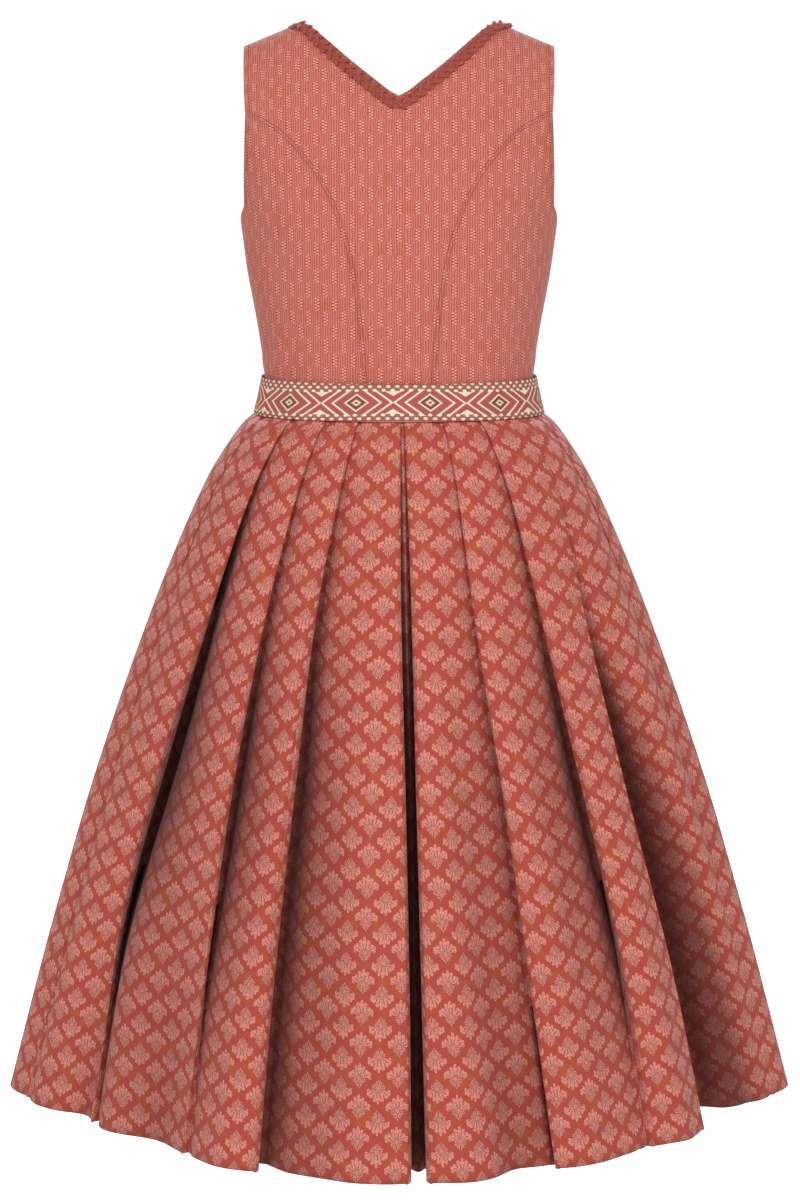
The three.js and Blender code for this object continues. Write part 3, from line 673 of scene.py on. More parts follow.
def clothObject(name, grids, corners, material, shades=None):
    # one surface from grids of points, facing away from the dress's upright axis
    vertices, faces, uvs, depths = [], [], [], []
    base = 0
    for number, (grid, uv) in enumerate(zip(grids, corners)):
        rows, columns = grid.shape[:2]
        index = base + np.arange(rows * columns).reshape(rows, columns)
        cells = cellCorners(index).reshape(-1, 4)
        flat = grid.reshape(-1, 3)
        a, b, c, d = (flat[cells[:, k] - base] for k in range(4))
        normals = np.cross(c - a, d - b)
        centres = (a + c) / 2 * np.array([1, 1, 0])
        uv = uv.reshape(-1, 4, 2)
        shade = cellCorners(shades[number] if shades else np.zeros((rows, columns))).reshape(-1, 4)
        if np.sum(normals * centres) < 0:
            cells, uv, shade = cells[:, ::-1], uv[:, ::-1], shade[:, ::-1]
        depths.append(np.stack([shade, 0 * shade], -1))
        vertices.append(flat)
        faces.append(cells)
        uvs.append(uv)
        base += rows * columns
    cuts[name] = cutSize(grids)
    mesh = bpy.data.meshes.new(name)
    mesh.from_pydata((np.concatenate(vertices) * mm).tolist(), [], np.concatenate(faces).tolist())
    layer = mesh.uv_layers.new(name="cloth")
    layer.data.foreach_set("uv", (np.concatenate(uvs) * mm).ravel())
    # a second map, fold, carries the painted fold shade that the skirt's material reads
    if shades:
        mesh.uv_layers.new(name="fold").data.foreach_set("uv", np.concatenate(depths).ravel())
    obj = newObject(name, mesh, material)
    bm = bmesh.new()
    bm.from_mesh(mesh)
    bmesh.ops.remove_doubles(bm, verts=bm.verts, dist=2e-6)
    bm.to_mesh(mesh)
    bm.free()
    mesh.shade_smooth()
    return obj


backNeck = [(0, 65.5), (9, 60.5), (20, 52), (41.6, 35.5), (63.3, 17), (78, 5), (88, 0)]
backSeam = [
    (30.5, 340), (31.7, 318), (34, 287), (38.5, 247), (44.5, 209), (53.5, 178), (67, 147), (85, 121),
    (110, 96), (138.5, 81),
]
backArmholeUpper = [(138.5, 81), (140, 60), (141, 22)]
backArmholeLower = [(138.5, 81), (140.2, 135), (140.8, 165)]
frontNeck = [(0, 150), (20, 147), (45, 137), (66, 114), (78, 80), (84, 40), (88, 0)]
frontSeam = [
    (46, 340), (48, 318), (54, 285), (63, 250), (70, 215), (75, 190), (84, 160), (98, 134), (121, 108),
]
frontArmholeUpper = [(121, 108), (124, 70), (141, 22)]
frontArmholeLower = [(121, 108), (127, 140), (137, 168)]
sideSeam = [(90, 340), (90, 281), (90, 225), (90, 184)]

# soft folds of the bodice: side, x and down of the middle, lean, length and width in mm, and height
bodiceFolds = [
    {"side": -1, "x": 96, "down": 300, "lean": 14, "long": 34, "wide": 7, "out": 1.0},
    {"side": -1, "x": -98, "down": 305, "lean": -12, "long": 30, "wide": 6, "out": 1.1},
    {"side": -1, "x": -88, "down": 283, "lean": -20, "long": 30, "wide": 6, "out": -0.9},
    {"side": -1, "x": 84, "down": 276, "lean": 22, "long": 26, "wide": 6, "out": -0.8},
    {"side": -1, "x": 118, "down": 190, "lean": -62, "long": 36, "wide": 9, "out": -1.2},
    {"side": -1, "x": -118, "down": 196, "lean": 60, "long": 34, "wide": 9, "out": -1.1},
    {"side": -1, "x": 8, "down": 300, "lean": 4, "long": 40, "wide": 10, "out": -0.8},
    {"side": -1, "x": -6, "down": 120, "lean": 80, "long": 60, "wide": 12, "out": -0.7},
    {"side": 1, "x": 60, "down": 290, "lean": 18, "long": 34, "wide": 8, "out": -1.2},
    {"side": 1, "x": -64, "down": 296, "lean": -16, "long": 32, "wide": 8, "out": -1.1},
    {"side": 1, "x": 108, "down": 176, "lean": -50, "long": 30, "wide": 9, "out": -1.3},
    {"side": 1, "x": -108, "down": 178, "lean": 52, "long": 30, "wide": 9, "out": -1.2},
    {"side": 1, "x": 30, "down": 262, "lean": 66, "long": 36, "wide": 12, "out": -0.9},
    {"side": 1, "x": -34, "down": 266, "lean": -62, "long": 34, "wide": 12, "out": -0.9},
]


def bodiceRelief(side, places):
    # the soft folds and the slight unevenness of the cloth
    point = bodicePoint(side, places[..., 0], places[..., 1])
    x, down = point[..., 0], -point[..., 2]
    out = np.zeros(x.shape)
    for fold in bodiceFolds:
        if fold["side"] != side:
            continue
        c, s = math.cos(math.radians(fold["lean"])), math.sin(math.radians(fold["lean"]))
        along = (x - fold["x"]) * c + (down - fold["down"]) * s
        across = (down - fold["down"]) * c - (x - fold["x"]) * s
        out += fold["out"] * bump(along, fold["long"]) * bump(across, fold["wide"])
    out += 0.35 * np.sin(x / 17 + 1.3 * side) * np.sin(down / 23 + x / 61)
    fade = smoothStep(places[..., 1], 0, 40) * (1 - smoothStep(down, 312, 326))
    return out * fade


def seamEdge(side, grid):
    # the cloth turned under along the princess seam stands out a little, up to its topstitching
    flat = bodicePoint(side, grid[..., 0], grid[..., 1])
    away = np.linalg.norm(flat - flat[:, -1:], axis=-1)
    seam = (np.arange(len(grid)) <= round(bodice["rows"] * bodice["seamShare"]))[:, None]
    ridge = smoothStep(away, -0.6, 0.5) * (1 - smoothStep(away, bodice["ridge"] - 0.8, bodice["ridge"] + 0.5))
    return seam * bodice["ridgeOut"] * ridge * (1 - smoothStep(-flat[..., 2], 316, 324))


def bodiceObject(name, side, grids, edges=None):
    edges = edges or [0] * len(grids)
    points = [
        bodicePoint(side, g[..., 0], g[..., 1], bodiceRelief(side, g) + edge) for g, edge in zip(grids, edges)
    ]
    corners = [cellCorners(np.stack([arcAcross(side, g), g[..., 1]], -1)) for g in grids]
    obj = clothObject(name, points, corners, bodiceCloth)
    return thicken(obj, bodice["wall"], -1)


def mirrored(grid):
    return (grid * np.array([-1, 1]))[:, ::-1]


def centreHalf(side, neck, seam, armhole, centreShare, seamShare):
    rows, columns = bodice["rows"], bodice["columns"]
    centreRows, seamRows = round(rows * centreShare), round(rows * seamShare)
    upCentre = edgeBetween(placeAt(0, bodice["waistSeam"]), placeAt(0, neck[0][1]), centreRows)
    left = np.concatenate([upCentre, outline(neck, rows - centreRows)[1:]])
    right = np.concatenate([outline(seam, seamRows), outline(armhole, rows - seamRows)[1:]])
    steps = np.linspace(0, 1, columns + 1)
    share = (1 - (1 - steps) ** 2)[None, :, None]
    return left[:, None] + (right - left)[:, None] * share, centreRows


def sidePanel(side, seam, armhole):
    rows, columns = bodice["rows"], bodice["columns"]
    left = outline(seam, rows)
    seamLine = evenPoints(splineSamples(sideSeam), rows)
    right = np.stack([np.radians(seamLine[:, 0]), placeAt(0 * seamLine[:, 1], seamLine[:, 1])[:, 1]], -1)
    top = np.concatenate([outline(armhole, columns - 3), edgeBetween(outline(armhole, 4)[-1], right[-1], 3)[1:]])
    bottom = edgeBetween(left[0], right[0], columns)
    u = np.linspace(0, 1, columns + 1)[None, :, None]
    v = np.linspace(0, 1, rows + 1)[:, None, None]
    grid = (1 - v) * bottom[None] + v * top[None] + (1 - u) * left[:, None] + u * right[:, None]
    grid -= (1 - u) * (1 - v) * bottom[0] + u * (1 - v) * bottom[-1] + (1 - u) * v * top[0] + u * v * top[-1]
    return trim(side, grid, ("left", "right", "bottom", "top"))


backHalf, backCentreRows = centreHalf(-1, backNeck, backSeam, backArmholeUpper, 0.6, 0.667)
trimmedBack = trim(-1, backHalf, ("right", "bottom", "top"))
neckRows = slice(backCentreRows + 1, None)
trimmedBack[neckRows, 0] = trim(-1, backHalf, ("left",))[neckRows, 0]
backEdgeOut = seamEdge(-1, trimmedBack)
pieces = {
    "backCentre": bodiceObject(
        "backCentre", -1, [mirrored(trimmedBack), trimmedBack], [backEdgeOut[:, ::-1], backEdgeOut]
    )
}
frontHalf, _ = centreHalf(1, frontNeck, frontSeam, frontArmholeUpper, 0.4, 0.667)
frontHalf = trim(1, frontHalf, ("left", "right", "bottom", "top"))
for hand, turned in (("Right", lambda g: g), ("Left", mirrored)):
    pieces["backSide" + hand] = bodiceObject(
        "backSide" + hand, -1, [turned(sidePanel(-1, backSeam, backArmholeLower))]
    )
    pieces["frontSide" + hand] = bodiceObject(
        "frontSide" + hand, 1, [turned(sidePanel(1, frontSeam, frontArmholeLower))]
    )
    frontEdgeOut = seamEdge(1, frontHalf)
    pieces["frontCentre" + hand] = bodiceObject(
        "frontCentre" + hand, 1, [turned(frontHalf)], [frontEdgeOut if hand == "Right" else frontEdgeOut[:, ::-1]]
    )
print("bodice made")

# ---- waistband
band = {"top": 322, "bottom": 355, "wall": 1.5, "columns": 320, "rows": 12, "ends": 359.6, "round": 0.82}
bandLevels = tableCurves(
    [
        {"down": 322, "half": 126.6, "depth": 94.3},
        {"down": 338.5, "half": 129.9, "depth": 97.3},
        {"down": 355, "half": 133.9, "depth": 101.4},
    ],
    "down",
)


def bandPoint(turn, down, out=0.0):
    half, depth = bandLevels["half"](down) + out, bandLevels["depth"](down) + out
    cosine = np.cos(turn)
    deep = np.sign(cosine) * np.abs(cosine) ** band["round"]
    return np.stack([half * np.sin(turn), -depth * deep, -down + 0 * turn], -1)


turns = np.radians((np.linspace(0, 1, band["columns"] + 1) - 0.5) * band["ends"])
downs = np.linspace(band["top"], band["bottom"], band["rows"] + 1)
ripple = 0.35 * np.sin(turns * 23 + 0.7) * np.sin(turns * 7.3)
bandGrid = np.stack([bandPoint(turns, np.full_like(turns, d), ripple) for d in downs])
bandArc = np.concatenate([[0], np.cumsum(np.linalg.norm(np.diff(bandGrid[band["rows"] // 2], axis=0), axis=1))])
bandArc -= bandArc[-1] / 2
middle = (band["top"] + band["bottom"]) / 2
slip = 2.1 - 2.7 * bump(turns, 0.55)  # the pattern lies lower at the sides than at the centre back
bandUv = np.stack(
    [np.broadcast_to(bandArc - 27.6, bandGrid.shape[:2]), (middle - downs)[:, None] + slip[None, :]], -1
)
pieces["waistband"] = thicken(
    clothObject("waistband", [bandGrid], [cellCorners(bandUv)], bandCloth), band["wall"], -1
)
print("waistband made")

# ---- skirt
skirt = {
    "wall": 1.0,
    "top": 340.3,
    "bandBottom": 355,
    "hem": 1001,
    "hemRise": 13,
    "valleyDepth": 0.5,
    "leanShare": 0.15,
    "leanLap": 4,
    "largestBulge": 4,
    "tiltWaist": 14,
    "tiltHem": 80,
    "straightBack": 2.4,  # 0 sinks a fold square to the plan, and more turns it straight back
    "wideFade": 1.7,
    "nearFrom": 2,  # under a fold the cloth lies deepest this far in
    "nearShare": 0.22,  # the share of its depth that it loses soon after
    "nearRun": 4,
    "nearTilt": 0.3,
    "widePower": 1.4,
    "crownPower": 0.8,
    "crownDrop": 0.35,
    "fullShadeDepth": 30,  # painted shade: the cloth is unshaded on top and gets the full painted fold shade this far in
    "hollowShade": 0.5,
    "rows": 110,
    "evenRows": 0.75,  # the rest of the rows' spacing grows down the skirt
    "panelPoints": 17,
    "roll": [0, 4, 7, 8, 8],  # how far a panel stands out in its middle, at five levels down the skirt
    "roundings": 2,
}
skirtLine = [
    {"down": 340.3, "half": 124, "depth": 91.4, "round": 0.82, "pinch": 0},
    {"down": 355, "half": 130.6, "depth": 98, "round": 0.82, "pinch": 0},
    {"down": 363, "half": 141, "depth": 106, "round": 0.84, "pinch": 0},
    {"down": 382, "half": 155.5, "depth": 118, "round": 0.87, "pinch": 0},
    {"down": 419, "half": 177.5, "depth": 137, "round": 0.9, "pinch": 0},
    {"down": 494, "half": 209.7, "depth": 169, "round": 0.96, "pinch": 0.03},
    {"down": 569, "half": 237.4, "depth": 195, "round": 1, "pinch": 0.06},
    {"down": 644, "half": 262.9, "depth": 216, "round": 1, "pinch": 0.12},
    {"down": 720, "half": 287, "depth": 235, "round": 1, "pinch": 0.17},
    {"down": 797, "half": 309, "depth": 253, "round": 1, "pinch": 0.22},
    {"down": 873, "half": 330, "depth": 270, "round": 1, "pinch": 0.28},
    {"down": 1001, "half": 363, "depth": 296, "round": 1, "pinch": 0.34},
]
skirtCurves = tableCurves(skirtLine, "down")

# each fold at five levels down the skirt: its place as a share of the half width, how far the under
# layer runs back, and how far the right side stands out past the left; over says which side is on top
backFolds = [
    {
        "over": -1,
        "place": [-0.94, -0.945, -0.95, -0.953, -0.955],
        "lap": [7, -1.5, -2, -2, -2],
        "step": [-3.0, -1.6, -1.2, -1.0, -0.8],
    },
    {
        "over": -1,
        "place": [-0.735, -0.763, -0.802, -0.835, -0.80],
        "lap": [12, 11, 10, 2, -14],
        "step": [-3.4, -28, -54, -24, -8],
    },
    {
        "over": -1,
        "place": [-0.50, -0.535, -0.548, -0.548, -0.546],
        "lap": [12, 10, 7, 3, -10],
        "step": [-3.4, -17, -31, -18, -5],
    },
    {
        "over": -1,
        "place": [-0.278, -0.331, -0.338, -0.345, -0.342],
        "lap": [12, 10, 8, 6, 5],
        "step": [-3.4, -20, -35, -33, -28],
    },
    {
        "over": -1,
        "place": [0.007, 0.012, 0.024, 0.031, 0.032],
        "lap": [12, 12, 10, 8, 8],
        "step": [-3.4, -18, -32, -40, -44],
    },
    {
        "over": 1,
        "place": [0.037, 0.048, 0.054, 0.06, 0.065],
        "lap": [12, 12, 10, 8, 8],
        "step": [3.4, 18, 32, 40, 44],
    },
    {
        "over": 1,
        "place": [0.298, 0.304, 0.338, 0.362, 0.384],
        "lap": [12, 10, 7, 4, 4],
        "step": [3.4, 9, 16, 15, 13],
    },
    {
        "over": 1,
        "place": [0.555, 0.569, 0.598, 0.626, 0.628],
        "lap": [12, 10, 7, 0, -12],
        "step": [3.4, 16, 31, 22, 4],
    },
    {
        "over": 1,
        "place": [0.81, 0.746, 0.762, 0.79, 0.80],
        "lap": [6, 1, -10, -15, -20],
        "step": [-3.4, -16, -52, -66, -60],
    },
    {
        "over": 1,
        "place": [0.955, 0.96, 0.962, 0.964, 0.965],
        "lap": [7, -1.5, -2, -2, -2],
        "step": [3.0, 1.6, 1.2, 1.0, 0.8],
    },
]
frontFoldsRight = [
    {
        "over": -1,
        "place": [0.93, 0.937, 0.941, 0.946, 0.95],
        "lap": [7, -1.5, -2, -2, -2],
        "step": [-3.0, -1.6, -1.2, -1.0, -0.8],
    },
    {
        "over": -1,
        "place": [0.78, 0.783, 0.786, 0.788, 0.79],
        "lap": [12, 9, 3, -8, -14],
        "step": [-3.4, -13, -29, -36, -38],
    },
    {
        "over": -1,
        "place": [0.53, 0.537, 0.541, 0.546, 0.55],
        "lap": [12, 9, 5, 4, 3],
        "step": [-3.4, -12, -21, -24, -24],
    },
    {
        "over": -1,
        "place": [0.27, 0.29, 0.304, 0.318, 0.33],
        "lap": [12, 10, 6, 5, 4],
        "step": [-3.4, -13, -22, -27, -28],
    },
    {
        "over": -1,
        "place": [0.014, 0.016, 0.017, 0.019, 0.02],
        "lap": [12, 12, 10, 8, 8],
        "step": [-3.4, -17, -28, -36, -38],
    },
]
frontFoldsLeft = [
    {
        "over": -fold["over"],
        "place": [-place for place in fold["place"]],
        "lap": fold["lap"],
        "step": [-out for out in fold["step"]],
    }
    for fold in reversed(frontFoldsRight)
]
# soft troughs and ridges: place at the five levels, half their width in mm, and how deep they lie
# (less than nothing stands out)
backSoft = [
    {"place": [-0.81, -0.82, -0.83, -0.84, -0.84], "width": 26, "depth": [0, 0, 4, 14, 24]},
    {"place": [-0.62, -0.63, -0.63, -0.64, -0.64], "width": 40, "depth": [0, 0, 4, 16, 26]},
    {"place": [0.25, 0.22, 0.23, 0.26, 0.30], "width": 24, "depth": [0, 3, 9, 14, 18]},
    {"place": [-0.43, -0.46, -0.47, -0.48, -0.48], "width": 13, "depth": [0, 2, 3, 3, 2]},
    {"place": [-0.16, -0.20, -0.20, -0.19, -0.19], "width": 20, "depth": [0, 2, 3, 4, 3]},
    {"place": [0.14, 0.13, 0.13, 0.15, 0.17], "width": 13, "depth": [0, -1, -3, -3, -1]},
    {"place": [0.47, 0.45, 0.48, 0.52, 0.54], "width": 16, "depth": [0, 3, 5, 4, 2]},
    {"place": [0.68, 0.68, 0.67, 0.68, 0.70], "width": 12, "depth": [0, 1, 2, -3, -4]},
    {"place": [-0.87, -0.88, -0.89, -0.90, -0.90], "width": 12, "depth": [0, 1, 2, 3, 3]},
    {"place": [0.90, 0.86, 0.87, 0.89, 0.90], "width": 12, "depth": [0, 1, 2, 3, 4]},
]
frontSoftRight = [
    {"place": [0.64, 0.64, 0.65, 0.65, 0.66], "width": 24, "depth": [0, 2, 4, 7, 9]},
    {"place": [0.40, 0.41, 0.42, 0.43, 0.44], "width": 22, "depth": [0, 1, 3, 5, 8]},
    {"place": [0.13, 0.14, 0.15, 0.16, 0.17], "width": 26, "depth": [0, 2, 4, 5, 6]},
    {"place": [0.86, 0.86, 0.86, 0.87, 0.87], "width": 14, "depth": [0, 1, 2, 3, 4]},
]
frontSoftLeft = [
    {"place": [-0.66, -0.66, -0.66, -0.67, -0.67], "width": 26, "depth": [0, 1, 4, 6, 10]},
    {"place": [-0.41, -0.41, -0.42, -0.42, -0.43], "width": 20, "depth": [0, 2, 3, 6, 7]},
    {"place": [-0.15, -0.15, -0.15, -0.16, -0.16], "width": 24, "depth": [0, 1, 4, 6, 5]},
    {"place": [-0.86, -0.86, -0.87, -0.87, -0.88], "width": 14, "depth": [0, 1, 3, 3, 3]},
]
# seams between the skirt's widths of cloth, which pucker along their length
backSeams = [
    {"place": [-0.77, -0.762, -0.757, -0.738, -0.716], "from": 540},
    {"place": [0.89, 0.93, 0.922, 0.911, 0.905], "from": 470},
]
frontSeams = [
    {"place": [0.885, 0.89, 0.892, 0.89, 0.886], "from": 500},
    {"place": [-0.88, -0.886, -0.888, -0.888, -0.884], "from": 480},
]
rowTables = (backFolds, frontFoldsRight, frontFoldsLeft, backSoft, frontSoftRight, frontSoftLeft)
for rows in (*rowTables, backSeams, frontSeams):
    for row in rows:
        for name in ("place", "lap", "step", "depth"):
            if name in row:
                row[name] = smoothCurve(np.linspace(0, 1, len(row[name])), row[name])
rollCurve = smoothCurve(np.linspace(0, 1, 5), skirt["roll"])


def skirtPlan(turn, down):
    half, depth, squareness, pinch = (float(skirtCurves[k](down)) for k in ("half", "depth", "round", "pinch"))

    def pointAt(angle):
        sine, cosine = np.sin(angle), np.cos(angle)
        deep = np.sign(cosine) * np.abs(cosine) ** squareness * (1 - pinch * sine**2)
        return np.stack([half * sine, -depth * deep], -1)

    step = 0.01
    tangent = pointAt(turn + step) - pointAt(turn - step)
    length = np.linalg.norm(tangent, axis=-1)
    tangent = tangent / length[..., None]
    return pointAt(turn), np.stack([tangent[..., 1], -tangent[..., 0]], -1), length / (2 * step)


def foldTurn(row, share, atFront):
    turn = math.asin(float(row["place"](share)))
    return math.pi - turn if atFront else turn


def seamRelief(across, down, start):
    # a narrow groove, and the small ripples that the stitches draw up beside it
    ripple = np.sin(down / 1.55 + 1.3 * math.sin(down / 17)) + 0.6 * np.sin(down / 2.6 + 2)
    fade = float(smoothStep(down, start, start + 30) * (1 - smoothStep(down, 950, 990)))
    side = np.where(across > 0, 1.0, -0.6)
    return fade * (0.7 * ripple * side * bump(across, 6.5) - 1.0 * bump(across, 1.3))


def roundCorners(line, times):
    for _ in range(times):
        low, high = line[:-1] * 0.75 + line[1:] * 0.25, line[:-1] * 0.25 + line[1:] * 0.75
        cut = np.stack([low, high], 1).reshape(-1, 2)
        line = np.concatenate([line[:1], cut, line[-1:]])
    return line


def skirtSection(down, folds, softs, seams, atFront, ends):
    # one level in plan: the line, the panel that each stretch of it belongs to, and how much painted shade each
    # point gets
    share = min(max((down - skirt["bandBottom"]) / (skirt["hem"] - skirt["bandBottom"]), 0), 1)
    tilt = skirt["tiltWaist"] + (skirt["tiltHem"] - skirt["tiltWaist"]) * share
    placed = []
    for fold in folds:
        turn = foldTurn(fold, share, atFront)
        speed = float(skirtPlan(np.array(turn), down)[2])
        lap, step = float(fold["lap"](share)), float(fold["step"](share))
        first, second = (lap, 0.0) if fold["over"] > 0 else (0.0, -lap)
        bulge = min(max(min(abs(step) / 4, lap / 2), 0), skirt["largestBulge"])
        placed.append((turn, speed, fold["over"], lap, step, first, second, bulge))
    troughs = []
    for soft in softs:
        turn = foldTurn(soft, share, atFront)
        speed = float(skirtPlan(np.array(turn), down)[2])
        troughs.append((turn, soft["width"] / speed, float(soft["depth"](share))))

    def deepWay(normal):
        # folds lie back mostly away from the dress's front or back, not square to the curve of its plan
        way = normal + np.array([0, skirt["straightBack"] * (1 if atFront else -1)])
        return way / np.linalg.norm(way, axis=-1, keepdims=True)

    def hollowAt(turn):
        return sum((deep * bump(turn - at, reach) for at, reach, deep in troughs), 0 * turn)

    def sinkBeside(turn, fold, side):
        if fold is None or fold[4] * side > 0:
            return 0 * turn
        away = np.abs(turn - fold[0]) * fold[1]
        nearEnd = skirt["nearFrom"] + skirt["nearRun"] + skirt["nearTilt"] * tilt
        near = 1 - smoothStep(away, skirt["nearFrom"], nearEnd)
        wide = np.clip(1 - away / (skirt["wideFade"] * tilt), 0, 1) ** skirt["widePower"]
        return abs(fold[4]) * (skirt["nearShare"] * near + (1 - skirt["nearShare"]) * wide)

    def seamsAt(turn):
        out = 0 * turn
        for seam in seams:
            at = foldTurn(seam, share, atFront)
            speed = float(skirtPlan(np.array(at), down)[2])
            out = out + seamRelief((turn - at) * speed, down, seam["from"])
        return out

    def panel(start, end, shares, leftFold, rightFold):
        turn = start + (end - start) * shares
        point, normal, _ = skirtPlan(turn, down)
        sink = np.maximum(sinkBeside(turn, leftFold, 1), sinkBeside(turn, rightFold, -1))
        crown = float(rollCurve(share)) * (np.sin(math.pi * shares) ** skirt["crownPower"] - skirt["crownDrop"])
        # painted shade: the deeper the cloth sinks under a fold or into a trough, the darker it is painted
        paintedShade = np.clip((sink + skirt["hollowShade"] * np.maximum(hollowAt(turn), 0)) / skirt["fullShadeDepth"], 0, 1)
        moved = point - normal * (hollowAt(turn) - crown - seamsAt(turn))[:, None]
        return moved - deepWay(normal) * sink[:, None], paintedShade

    def foldLine(fold):
        turn, speed, over, lap, step, first, second, bulge = fold
        base = -float(hollowAt(np.array(turn)))
        left, right = base - max(step, 0), base - max(-step, 0)
        middle = (left + right) / 2 - max(-lap, 0) * skirt["valleyDepth"]
        lean = (left - right) * skirt["leanShare"] * (1 - float(smoothStep(lap, 0, skirt["leanLap"])))
        spread = max(-lap, 0) / 5
        roundEdge = (first + bulge, second) if over > 0 else (first, second - bulge)
        flatEdge = (first, second + bulge) if over > 0 else (first - bulge, second)
        corners = np.array([
            (flatEdge[0], left),
            (roundEdge[0] + spread, (left + middle + lean) / 2),
            (flatEdge[0] + 2 * spread, middle + lean),
            (flatEdge[1] - 2 * spread, middle - lean),
            (roundEdge[1] - spread, (middle - lean + right) / 2),
            (flatEdge[1], right),
        ])
        corners = roundCorners(corners, skirt["roundings"])
        point, normal, _ = skirtPlan(turn + corners[:, 0] / speed, down)
        # painted shade: the further a point lies back behind the fold's front, the darker it is painted
        paintedShade = np.clip((max(left, right) - corners[:, 1]) / skirt["fullShadeDepth"], 0, 1)
        return point + normal * base + deepWay(normal) * (corners[:, 1:2] - base), paintedShade

    count = skirt["panelPoints"]
    parts, owners, shades = [], [], []
    # an under layer's panel ends at its fold's flat edge, a bulge further in, so the line doesn't turn over itself
    leftEnds, starts = [], [ends[0]]
    for turn, speed, over, _, _, first, second, bulge in placed:
        leftEnds.append(turn + min(first - (bulge if over < 0 else 0), 0) / speed)
        starts.append(turn + max(second + (bulge if over > 0 else 0), 0) / speed)
    leftEnds.append(ends[1])
    for k in range(len(placed) + 1):
        shares = (np.arange(count) + 0.5) / count
        if k == 0:
            shares = np.arange(count) / count
        elif k == len(placed):
            shares = (np.arange(count) + 1) / count
        leftFold = placed[k - 1] if k else None
        rightFold = placed[k] if k < len(placed) else None
        line, paintedShade = panel(starts[k], leftEnds[k], shares, leftFold, rightFold)
        parts.append(line)
        shades.append(paintedShade)
        owners += [k] * count
        if rightFold:
            line, paintedShade = foldLine(rightFold)
            parts.append(line)
            shades.append(paintedShade)
            owners += [k] * (len(line) // 2) + [k + 1] * (len(line) - len(line) // 2)
    return np.concatenate(parts), np.array(owners), np.concatenate(shades)


def skirtObject(name, folds, softs, seams, atFront, ends):
    steps = np.linspace(0, 1, skirt["rows"] + 1)
    even = skirt["evenRows"]
    levels = skirt["top"] + (skirt["hem"] - skirt["top"]) * (even * steps + (1 - even) * steps**2)
    grid, shades = [], []
    for down in levels:
        line, owners, paintedShade = skirtSection(down, folds, softs, seams, atFront, ends)
        shades.append(paintedShade)
        share = min(max((down - skirt["bandBottom"]) / (skirt["hem"] - skirt["bandBottom"]), 0), 1)
        rise = skirt["hemRise"] * share * (line[:, 0] / float(skirtCurves["half"](down))) ** 2
        grid.append(np.column_stack([line, rise - down]))
    grid = np.array(grid)
    arc = np.concatenate(
        [np.zeros((len(levels), 1)), np.cumsum(np.linalg.norm(np.diff(grid, axis=1), axis=2), 1)], 1
    )
    u = np.zeros((grid.shape[0] - 1, grid.shape[1] - 1, 4))
    v = np.zeros_like(u)
    arcCorners = cellCorners(arc[..., None])[..., 0]
    for owner in range(owners[-1] + 1):
        mine = np.nonzero(owners == owner)[0]
        columns = mine[mine < grid.shape[1] - 1]
        middle = (mine[0] + mine[-1]) // 2
        drop = np.concatenate([[0], np.cumsum(np.linalg.norm(np.diff(grid[:, middle], axis=0), axis=1))])
        centre = cellCorners(np.broadcast_to(arc[:, middle : middle + 1, None], grid.shape[:2] + (1,)))[..., 0]
        depth = cellCorners(np.broadcast_to(drop[:, None, None], grid.shape[:2] + (1,)))[..., 0]
        u[:, columns] = (arcCorners - centre)[:, columns] + 11.0 * owner
        v[:, columns] = -depth[:, columns]
    obj = clothObject(name, [grid], [np.stack([u, v], -1)], skirtCloth, [np.array(shades)])
    return thicken(obj, skirt["wall"], 0)


quarter, gapTurn = math.pi / 2, 0.0015
pieces["skirtBack"] = skirtObject(
    "skirtBack", backFolds, backSoft, backSeams, False, (-quarter + gapTurn, quarter - gapTurn)
)
pieces["skirtFrontRight"] = skirtObject(
    "skirtFrontRight", frontFoldsRight, frontSoftRight, frontSeams, True, (quarter + gapTurn, math.pi - gapTurn)
)
pieces["skirtFrontLeft"] = skirtObject(
    "skirtFrontLeft", frontFoldsLeft, frontSoftLeft, frontSeams, True, (math.pi + gapTurn, 3 * quarter - gapTurn)
)
print("skirt made")

# ---- neck braid
braid = {"inset": 3.4, "half": 5, "lift": 0.5, "crown": 2.4, "samples": 400}


def moveInto(side, places, distance):
    # moves a line of places into the cloth, at right angles to itself
    before = places[np.maximum(np.arange(len(places)) - 1, 0)]
    after = places[np.minimum(np.arange(len(places)) + 1, len(places) - 1)]
    here = bodicePoint(side, places[:, 0], places[:, 1])
    beside = bodicePoint(side, places[:, 0] + 0.01, places[:, 1])
    across = np.linalg.norm(beside - here, axis=1) / 0.01
    way = np.stack([(after[:, 0] - before[:, 0]) * across, after[:, 1] - before[:, 1]], 1)
    way /= np.linalg.norm(way, axis=1, keepdims=True)
    along = np.maximum(places[:, 1] + way[:, 0] * distance, 0)
    return np.stack([places[:, 0] - way[:, 1] * distance / across, along], 1)


def neckBraid(name, side, edge):
    line = evenPoints(splineSamples(edge), braid["samples"])
    places = placeAt(line[:, 0], line[:, 1])
    shares = np.linspace(-1, 1, 9)
    grid = []
    for share in shares:
        moved = moveInto(side, places, braid["inset"] + braid["half"] * (1 + share))
        lift = braid["lift"] + braid["crown"] * 0.45 * (1 - share**2)
        grid.append(bodicePoint(side, moved[:, 0], moved[:, 1], np.full(len(moved), lift)))
    grid = np.array(grid)
    lengths = np.concatenate([[0], np.cumsum(np.linalg.norm(np.diff(grid[4], axis=0), axis=1))])
    u = np.broadcast_to(lengths, grid.shape[:2])
    v = np.broadcast_to((shares * braid["half"])[:, None], grid.shape[:2])
    obj = clothObject(name, [grid], [cellCorners(np.stack([u, v], -1))], braidCord)
    return thicken(obj, 0.5, -1)


